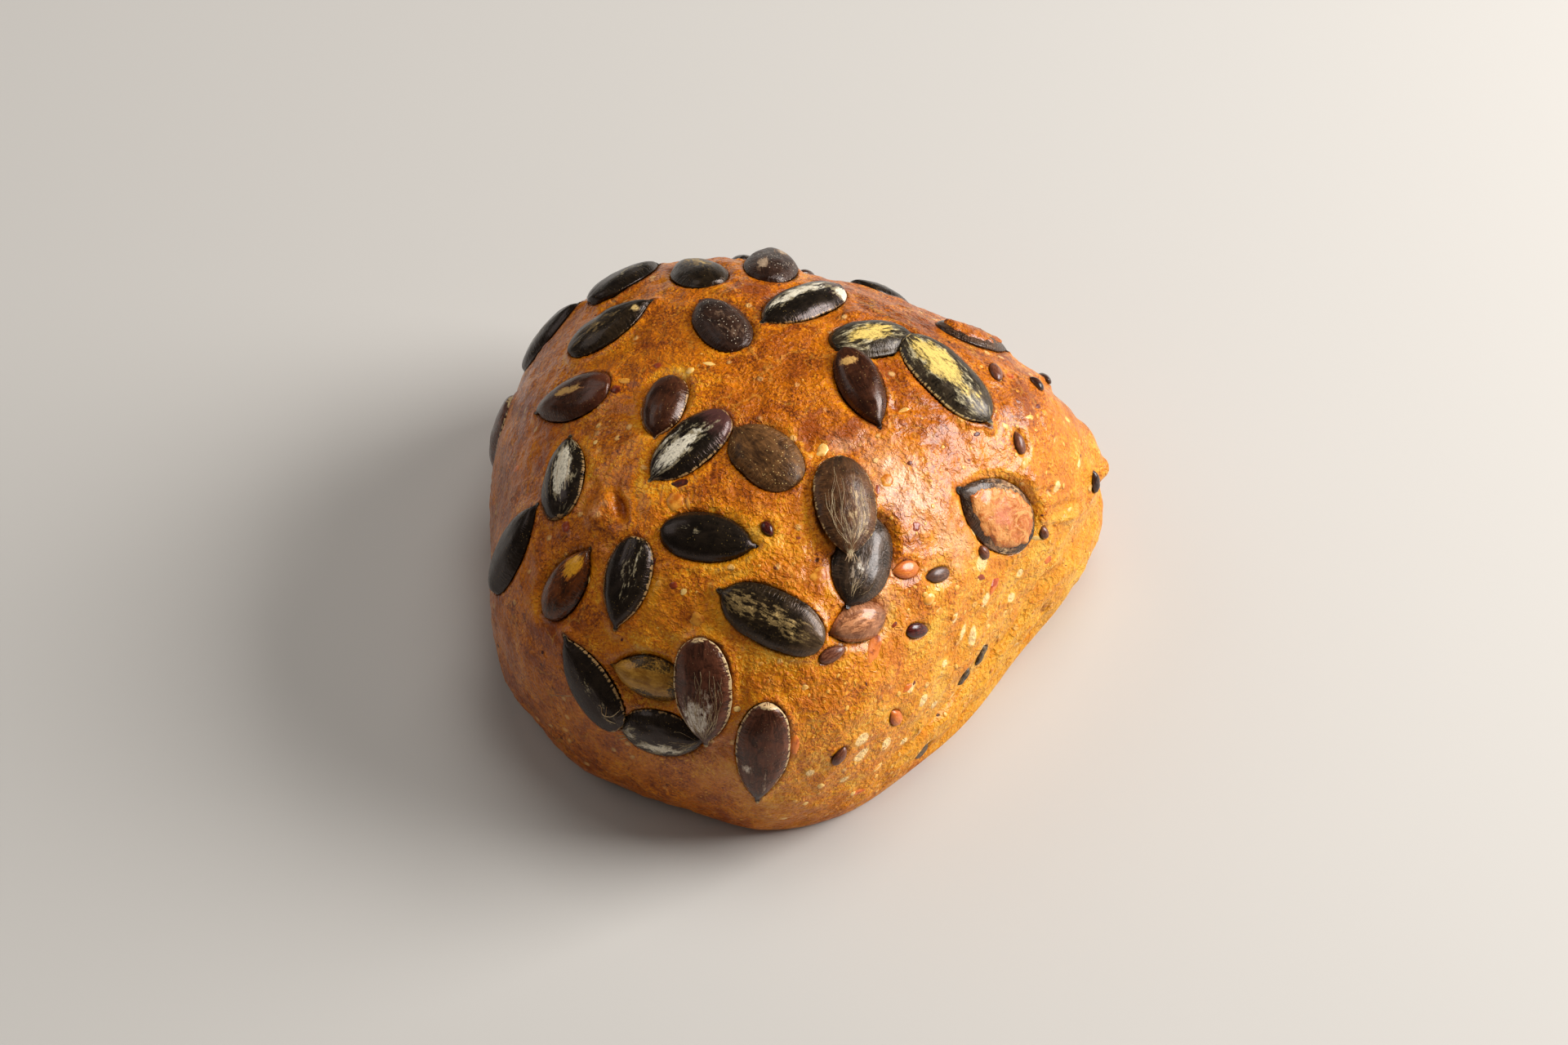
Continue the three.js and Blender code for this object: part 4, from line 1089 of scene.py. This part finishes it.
def makeFlake(node, index):
    place = places[node]
    s = flakeBuild
    steps = s["steps"]
    ring = np.arange(steps * 3) / (steps * 3) * 2 * math.pi
    radii = np.linspace(0, 1, steps // 2 + 1)[1:]
    corner = 1 / np.maximum(np.abs(np.cos(ring)), np.abs(np.sin(ring))) ** 0.6  # between an oval and a box
    torn = 1 + s["tear"] * np.array([
        noise.fractal((math.cos(a) * 1.7, math.sin(a) * 1.7, index * 3.3), 0.9, 2.1, 3) for a in ring])
    layers = []
    for face in (1, -1):
        rr, aa = np.meshgrid(radii, np.arange(len(ring)), indexing="ij")
        reach = rr * (corner * torn)[aa] * 0.9
        x, y = reach * np.cos(ring)[aa] * place["width"] / 2, reach * np.sin(ring)[aa] * place["length"] / 2
        thin = face * place["thick"] * s["edgeShare"] * (1 - rr ** 6 * 0.75)
        layers.append(np.stack([x, y, thin], -1).reshape(-1, 3))
    local = np.r_[layers[0], layers[1], [
        [0, 0, place["thick"] * s["edgeShare"]], [0, 0, -place["thick"] * s["edgeShare"]]]]
    flat = np.c_[local[:, :2], local[:, 2] * 0]
    local[:, 2] += s["warp"] * waves(flat, 2.4, 2, index * 7.7)
    points = laid(local, place)
    count, rows = len(ring), len(radii)
    faces = []
    for layer, start in ((0, 0), (1, rows * count)):
        grid = (np.arange(rows * count) + start).reshape(rows, count)
        side = np.roll(grid, -1, 1)
        quads = np.stack([grid[:-1], grid[1:], side[1:], side[:-1]], -1).reshape(-1, 4)
        tris = [[2 * rows * count + layer, int(a), int(b)] for a, b in zip(grid[0], side[0])]
        if layer:
            quads, tris = quads[:, ::-1], [t[::-1] for t in tris]
        faces += quads.tolist() + tris
    top, bottom = np.arange(count) + (rows - 1) * count, np.arange(count) + (2 * rows - 1) * count
    faces += np.stack([top, bottom, np.roll(bottom, -1), np.roll(top, -1)], -1).tolist()
    piece = meshPiece("huskFlake" + node[-2:], points, faces, flakeMaterial)
    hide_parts(node)
    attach(piece, "root")


flakeNodes = sorted(node for node in places if node.startswith("husk"))
for index, node in enumerate(flakeNodes):
    makeFlake(node, index)
print("husk flakes made", len(flakeNodes))


# crumbs baked into the skin, each one a low dome that follows the crust
# kind: bearing, lift, length, width, turn
# most of these bearings, lifts and turns were worked out by a separate script, not chosen by hand
crumbPlaces = {
    "cream": [
        (307, 74.4, 2.4, 1.6, 5), (356, 67.6, 2.0, 0.9, -48), (189, 57.1, 1.0, 0.8, 64),
        (219, 40.5, 1.6, 1.0, -20), (162, 78.1, 1.6, 1.5, 93), (151, 81, 2.0, 1.0, 106),
        (238, 48, 1.1, 1.0, 21), (245, 48.1, 1.3, 1.0, 56), (312, 31.9, 2.2, 1.6, -10),
        (314, 27, 1.6, 1.2, -13), (336, 7, 1.3, 1.0, 26), (352, 12.9, 1.7, 1.2, 20),
        (359, 11, 1.3, 0.9, 3), (0, 17.4, 1.6, 1.0, -5), (329, 9.3, 1.2, 1.0, -45),
        (290, -7.2, 2.0, 1.3, -10), (277, 2.6, 1.4, 1.2, -30), (274, -7.3, 1.2, 1.0, -27),
        (284, -20, 1.3, 1.1, -51), (270, -25, 1.4, 1.1, -22), (261, 26.5, 1.4, 1.1, 7),
        (275, 30.8, 1.2, 1.0, -11), (18, 50.3, 1.6, 1.0, -152), (4, 47.1, 1.7, 1.0, -102),
        (9, 42.3, 2.0, 1.0, -56), (15, 29.5, 1.8, 1.0, -87), (358, 38.2, 2.4, 1.3, 14)],
    "golden": [
        (283, 52.7, 3.4, 2.4, -12), (231, 64.3, 3.2, 2.5, -58), (167, 64.3, 2.4, 1.2, 77),
        (250, 43.4, 2.2, 2.0, 12), (12, 38.4, 1.6, 1.3, -125), (8, 33.1, 1.6, 1.2, -1),
        (322, 60.5, 2.4, 1.8, -20), (226, 63.6, 2.6, 0.5, -62), (236, 65, 2.6, 0.7, -54)],
    "orange": [
        (178, 30.3, 2.4, 1.0, 71), (334, 18.5, 3.4, 1.8, 17), (351, 10.3, 2.0, 1.4, -24),
        (299, 15.7, 1.8, 1.1, 0), (295, 9.5, 1.8, 1.2, -79), (285, -22, 3.0, 1.2, -13),
        (20, 46, 2.2, 1.2, -60)],
    "brown": [
        (207, 45, 1.8, 1.5, 44), (159, 71, 1.6, 1.2, 90), (242, 48.7, 1.4, 1.2, 18),
        (320, 48.1, 1.6, 1.4, -11), (316, 60.6, 2.0, 0.9, 36), (331, 24.2, 1.9, 1.1, -48),
        (300, 32.7, 1.4, 0.7, 7), (171, 62.6, 1.6, 1.2, 73)],
    "maroon": [
        (229, 67.9, 3.0, 1.3, 41), (234, 51.2, 2.6, 1.0, 74), (335, 59.4, 1.0, 0.8, -46),
        (301, 15.6, 0.8, 0.7, -39), (13, 40.5, 1.3, 1.0, -60), (0, 54.8, 1.4, 0.8, -80),
        (358, 51.8, 1.4, 0.9, -40)],
    "shard": [
        (293, 31.6, 4.4, 2.4, 43), (272, 17.4, 3.8, 1.7, 85)],
    "olive": [
        (291, 36.6, 4.6, 1.7, -24), (350, 19.5, 3.0, 0.9, -44)],
}
crumbBuild = {"rings": 7, "spokes": 20, "height": 0.17, "buried": 0.25, "ragged": 0.3}


def makeCrumbs(kind, rows, crust):
    s = crumbBuild
    points, faces = [], []
    for number, (bearing, lift, long, wide, turn) in enumerate(rows):
        b, l = math.radians(bearing), math.radians(lift)
        centre = crustPoint(np.array(b), np.array(l))
        east = crustPoint(np.array(b + 1e-3), np.array(l)) - centre
        north = crustPoint(np.array(b), np.array(l + 1e-3)) - centre
        east, north = east / np.linalg.norm(east), north / np.linalg.norm(north)
        c, n = math.cos(math.radians(turn)), math.sin(math.radians(turn))
        along, across = east * c + north * n, north * c - east * n
        start = len(points)
        for ring in range(s["rings"] + 1):
            share = ring / s["rings"]
            for spoke in range(s["spokes"] if ring else 1):
                angle = spoke / s["spokes"] * 2 * math.pi
                wobble = 1 + s["ragged"] * noise.fractal(
                    (math.cos(angle) * 1.4, math.sin(angle) * 1.4, number * 5.1), 0.8, 2.2, 3)
                spot = centre + (along * math.cos(angle) * long
                                 + across * math.sin(angle) * wide) / 2 * share * wobble
                found, normal, _, _ = crust.find_nearest(Vector(spot * mm))
                rise = (s["height"] * min(1.0, (wide / 1.7) ** 1.5) * (1 - share ** 2.4) ** 0.7
                        - 0.08 * share ** 4)
                points.append(np.array(found) / mm + np.array(normal) * rise)
        for ring in range(s["rings"]):
            for spoke in range(s["spokes"]):
                after = (spoke + 1) % s["spokes"]
                inner = start + 1 + (ring - 1) * s["spokes"]
                outer = start + 1 + ring * s["spokes"]
                if ring:
                    faces.append([inner + spoke, outer + spoke, outer + after, inner + after])
                else:
                    faces.append([start, outer + spoke, outer + after])
        last = start + 1 + (s["rings"] - 1) * s["spokes"]
        found, normal, _, _ = crust.find_nearest(Vector(centre * mm))
        points.append(np.array(found) / mm - np.array(normal) * s["buried"])
        faces += [[len(points) - 1, last + (spoke + 1) % s["spokes"], last + spoke]
                  for spoke in range(s["spokes"])]
    piece = meshPiece(kind + "Crumbs", np.array(points), faces, crumbMaterials[kind])
    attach(piece, "root")


crustTree = touchable(rollCrust)
for kind, rows in crumbPlaces.items():
    makeCrumbs(kind, rows, crustTree)
print("crumbs made")


# what is strewn all over the skin: pale blisters under the glaze and tiny bits of husk
strewing = {
    "paleBlisters": {
        "where": "blistered", "perSquareMetre": 120000.0, "apart": 1.1, "size": (0.18, 0.5), "flat": 0.2,
        "skin": "blister", "seed": 7},
    "huskSpecks": {
        "where": "clear", "perSquareMetre": 4000.0, "apart": 5.0, "size": (0.14, 0.34), "flat": 0.16,
        "skin": "speck", "seed": 12},
}


def makeStrewTree():
    tree = bpy.data.node_groups.new("strewnBits", "GeometryNodeTree")
    face = tree.interface
    face.new_socket("Geometry", in_out="INPUT", socket_type="NodeSocketGeometry")
    for label, kind in (("Where", "NodeSocketString"), ("Density", "NodeSocketFloat"),
                        ("Apart", "NodeSocketFloat"), ("Smallest", "NodeSocketFloat"),
                        ("Largest", "NodeSocketFloat"), ("Flatness", "NodeSocketFloat"),
                        ("Seed", "NodeSocketInt"), ("Skin", "NodeSocketMaterial")):
        face.new_socket(label, in_out="INPUT", socket_type=kind)
    face.new_socket("Geometry", in_out="OUTPUT", socket_type="NodeSocketGeometry")
    given, out = tree.nodes.new("NodeGroupInput"), tree.nodes.new("NodeGroupOutput")
    given = given.outputs
    where = put(tree, "GeometryNodeInputNamedAttribute", {"data_type": "FLOAT"}, {"Name": given["Where"]})
    points = put(tree, "GeometryNodeDistributePointsOnFaces", {"distribute_method": "POISSON"}, {
        "Mesh": given["Geometry"], "Distance Min": given["Apart"], "Density Max": given["Density"],
        "Density Factor": where.outputs["Attribute"], "Seed": given["Seed"]})
    blob = put(tree, "GeometryNodeMeshUVSphere", None, {"Segments": 9, "Rings": 5, "Radius": 1.0})
    long = put(tree, "FunctionNodeRandomValue", {"data_type": "FLOAT"}, {
        "Min": given["Smallest"], "Max": given["Largest"], "Seed": given["Seed"]}).outputs[1]
    slim = put(tree, "FunctionNodeRandomValue", {"data_type": "FLOAT"}, {
        2: 0.55, 3: 0.95, "Seed": 3}).outputs[1]
    long = product(tree, long, stretch(tree, where.outputs["Attribute"], 0.0, 1.0, 0.4, 1.1))
    wide = product(tree, long, slim)
    size = put(tree, "ShaderNodeCombineXYZ", None, {
        "X": long, "Y": wide, "Z": product(tree, wide, given["Flatness"])})
    spin = put(tree, "FunctionNodeRandomValue", {"data_type": "FLOAT"}, {
        2: 0.0, 3: 6.28, "Seed": 5}).outputs[1]
    spun = put(tree, "FunctionNodeAxisAngleToRotation", None, {"Axis": (0.0, 0.0, 1.0), "Angle": spin})
    turned = put(tree, "FunctionNodeRotateRotation", {"rotation_space": "LOCAL"}, {
        "Rotation": points.outputs["Rotation"], "Rotate By": spun.outputs["Rotation"]})
    placed = put(tree, "GeometryNodeInstanceOnPoints", None, {
        "Points": points.outputs["Points"], "Instance": blob.outputs["Mesh"],
        "Rotation": turned.outputs["Rotation"], "Scale": size.outputs[0]})
    real = put(tree, "GeometryNodeRealizeInstances", None, {"Geometry": placed.outputs["Instances"]})
    soft = put(tree, "GeometryNodeSetShadeSmooth", None, {"Geometry": real.outputs["Geometry"]})
    done = put(tree, "GeometryNodeSetMaterial", None, {
        "Geometry": soft.outputs["Geometry"], "Material": given["Skin"]})
    tree.links.new(done.outputs["Geometry"], out.inputs["Geometry"])
    return tree


strewnTree = makeStrewTree()


def strew(name, look):  # grows the tree on a copy of the crust and keeps the result as a plain mesh
    ground = rollCrust.copy()
    bpy.context.scene.collection.objects.link(ground)
    settings = {
        "Where": look["where"], "Density": look["perSquareMetre"], "Apart": look["apart"] * mm,
        "Smallest": look["size"][0] * mm, "Largest": look["size"][1] * mm, "Flatness": look["flat"],
        "Seed": look["seed"], "Skin": crumbMaterials[look["skin"]]}
    grow = ground.modifiers.new(name, "NODES")
    grow.node_group = strewnTree
    for socket in strewnTree.interface.items_tree:
        if socket.in_out == "INPUT" and socket.name in settings:
            grow[socket.identifier] = settings[socket.name]
    evaluated = ground.evaluated_get(bpy.context.evaluated_depsgraph_get())
    mesh = bpy.data.meshes.new_from_object(evaluated)
    bpy.data.objects.remove(ground)
    mesh.name = name
    piece = bpy.data.objects.new(name, mesh)
    bpy.context.scene.collection.objects.link(piece)
    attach(piece, "root")
    print(name, len(mesh.polygons), "faces")


for name, look in strewing.items():
    strew(name, look)


# husk fibres: fine ones that lie along a seed to its tip, and loose ones that stand off it
fibreLook = {"thick": 0.045, "sides": 5, "steps": 22, "wander": 0.17, "seed": 21,
             "skin": {"base": rgb(196, 168, 126), "dark": rgb(132, 100, 66), "roughness": 0.45,
                      "clear": 0.05}}
# how many, from and to as shares of the length, side to side as shares of the width, thickness
lyingFibres = {
    "pumpkin_seed_16": (30, (0.1, 0.75), (0.72, 1.04), (-0.8, 0.8), 0.034),
    "pumpkin_seed_26": (22, (0.2, 0.75), (0.75, 1.02), (-0.85, 0.85), 0.03),
    "pumpkin_seed_17": (8, (0.6, 0.8), (0.84, 0.97), (-0.7, 0.4), 0.024),
    "pumpkin_seed_25": (7, (0.5, 0.7), (0.9, 1.02), (-0.8, 0.8), 0.028),
    "pumpkin_seed_15": (5, (0.1, 0.4), (0.6, 0.9), (-0.8, 0.8), 0.024),
}
# loose ends in shares of half width, half length and millimetres up
looseFibres = {
    "pumpkin_seed_23": [
        [(-0.1, -0.3, 1.7), (0.35, -0.45, 1.7), (0.1, -0.6, 1.8), (0.45, -0.72, 1.6), (0.9, -0.66, 1.1)],
        [(0.5, -0.5, 1.6), (0.15, -0.7, 1.7), (0.35, -0.86, 1.1)],
        [(-0.8, -0.1, 1.0), (-1.3, 0.0, 1.1), (-1.9, 0.1, 0.8)]],
    "pumpkin_seed_16": [
        [(0.05 * k, 0.93, 0.6), (0.08 * k, 1.01, 0.5), (0.11 * k, 1.07 + 0.03 * (k % 2), 0.45)]
        for k in (-2, -1, 0, 1, 2)],
    "pumpkin_seed_25": [
        [(0.1 * k, -0.93, 0.5), (0.14 * k, -1.08, 0.35), (0.16 * k, -1.16 - 0.03 * (k % 3), 0.3)]
        for k in (-4, -3, -1, 0, 2, 3)],
}
fibreMaterial = makeCrumbSkin("huskFibre", fibreLook["skin"])
fibreRandom = random.Random(fibreLook["seed"])


def fibreLines():  # lines in millimetres, each with its thickness and the way out of the seed
    s = fibreLook
    for node, (count, starts, stops, sideways, thick) in lyingFibres.items():
        place, skin = places[node], touchable(pumpkinSeeds[node])
        for _ in range(count):
            share = np.linspace(fibreRandom.uniform(*starts), fibreRandom.uniform(*stops), s["steps"])
            flank = fibreRandom.uniform(*sideways)
            phase, swing = fibreRandom.uniform(0, 6), fibreRandom.uniform(0.3, 1) * s["wander"]
            flank = flank + swing * np.sin(phase + (share - share[0]) * fibreRandom.uniform(5, 14))
            across = flank * (halfWidth(np.minimum(share, 0.985), place) + 0.05) * place["width"] / 2
            local = np.c_[across, (share - 0.5) * place["length"], share * 0 + place["thick"]]
            line = []
            for spot in laid(local, place):
                found, normal, _, _ = skin.find_nearest(Vector(spot * mm))
                line.append(np.array(found) / mm + np.array(normal) * thick * 0.4)
            yield np.array(line), thick * fibreRandom.uniform(0.6, 1.15), place["out"]
    for node, paths in looseFibres.items():
        place = places[node]
        for path in paths:
            knots = np.array(path) * [place["width"] / 2, place["length"] / 2, 1]
            spread = np.linspace(0, len(knots) - 1, s["steps"])
            line = np.stack([np.interp(spread, np.arange(len(knots)), knots[:, k]) for k in range(3)], -1)
            for _ in range(4):
                line[1:-1] = (line[:-2] + 2 * line[1:-1] + line[2:]) / 4
            yield laid(line, place), s["thick"] * 1.5, place["out"]


def makeFibresPiece():
    s = fibreLook
    sides, steps = s["sides"], s["steps"]
    turn = np.arange(sides) / sides * 2 * math.pi
    points, faces = [], []
    for line, thick, out in fibreLines():
        ahead = np.gradient(line, axis=0)
        ahead /= np.linalg.norm(ahead, axis=1, keepdims=True)
        side = np.cross(ahead, out)
        side /= np.linalg.norm(side, axis=1, keepdims=True)
        above = np.cross(side, ahead)
        girth = thick * (0.3 + 0.7 * np.sin(np.linspace(0.25, 2.9, steps)))
        ring = side[:, None] * np.cos(turn)[None, :, None] + above[:, None] * np.sin(turn)[None, :, None]
        start = len(points) * sides * steps
        points.append((line[:, None] + girth[:, None, None] * ring).reshape(-1, 3))
        grid = np.arange(sides * steps).reshape(steps, sides) + start
        after = np.roll(grid, -1, 1)
        faces += np.stack([grid[:-1], grid[1:], after[1:], after[:-1]], -1).reshape(-1, 4).tolist()
        faces += [grid[0].tolist(), grid[-1, ::-1].tolist()]
    piece = meshPiece("huskFibres", np.concatenate(points), faces, fibreMaterial)
    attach(piece, "root")
    return len(points)


print("husk fibres made", makeFibresPiece())


# stage, light and view
floorLook = {"colour": rgb(198, 193, 186), "roughness": 0.9, "size": 8.0}
floorMaterial, _, floorShader = newMaterial("paleFloor")
floorShader.inputs["Base Color"].default_value = floorLook["colour"]
floorShader.inputs["Roughness"].default_value = floorLook["roughness"]
half = floorLook["size"] / 2
floorMesh = bpy.data.meshes.new("paleFloor")
floorMesh.from_pydata(
    [(-half, -half, 0), (half, -half, 0), (half, half, 0), (-half, half, 0)], [], [(0, 1, 2, 3)])
floorMesh.materials.append(floorMaterial)
paleFloor = bpy.data.objects.new("paleFloor", floorMesh)
bpy.context.scene.collection.objects.link(paleFloor)

# bearing and height in degrees, distance and size in metres, watts, whether it shows as a highlight
lights = {
    "windowRight": {
        "bearing": 8, "height": 30, "distance": 0.8, "size": (0.5, 0.4), "power": 10.2, "shine": True},
    "skyAbove": {
        "bearing": 60, "height": 70, "distance": 1.1, "size": (0.6, 0.6), "power": 4.6, "shine": False},
    "roomFront": {
        "bearing": 240, "height": 50, "distance": 1.2, "size": (0.9, 0.9), "power": 0.6, "shine": False},
    "wallLeft": {
        "bearing": 160, "height": 42, "distance": 1.2, "size": (0.9, 0.5), "power": 1.6, "shine": True},
}
for name, look in lights.items():
    lamp = bpy.data.lights.new(name, "AREA")
    lamp.shape = "RECTANGLE"
    lamp.size, lamp.size_y = look["size"]
    lamp.energy = look["power"]
    holder = bpy.data.objects.new(name, lamp)
    bearing, height = math.radians(look["bearing"]), math.radians(look["height"])
    away = Vector((math.cos(height) * math.cos(bearing), math.cos(height) * math.sin(bearing),
                   math.sin(height)))
    holder.location = away * look["distance"] + Vector((0, 0, 0.02))
    holder.rotation_euler = (-away).to_track_quat("-Z", "Y").to_euler()
    holder.visible_glossy = look["shine"]
    bpy.context.scene.collection.objects.link(holder)

world = bpy.data.worlds.new("paleRoom")
world.use_nodes = True
world.node_tree.nodes["Background"].inputs["Color"].default_value = rgb(242, 232, 222)
world.node_tree.nodes["Background"].inputs["Strength"].default_value = 0.1
bpy.context.scene.world = world
bpy.context.scene.view_settings.view_transform = "Standard"

view = {"height": 52, "distance": 0.540, "lens": 85, "target": (0, 0, 0.020)}
cameraData = bpy.data.cameras.new("view")
cameraData.lens = view["lens"]
cameraData.sensor_width = 36
camera = bpy.data.objects.new("view", cameraData)
height = math.radians(view["height"])
camera.location = Vector(view["target"]) + view["distance"] * Vector(
    (0, -math.cos(height), math.sin(height)))
camera.rotation_euler = (math.pi / 2 - height, 0, 0)
bpy.context.scene.collection.objects.link(camera)
bpy.context.scene.camera = camera
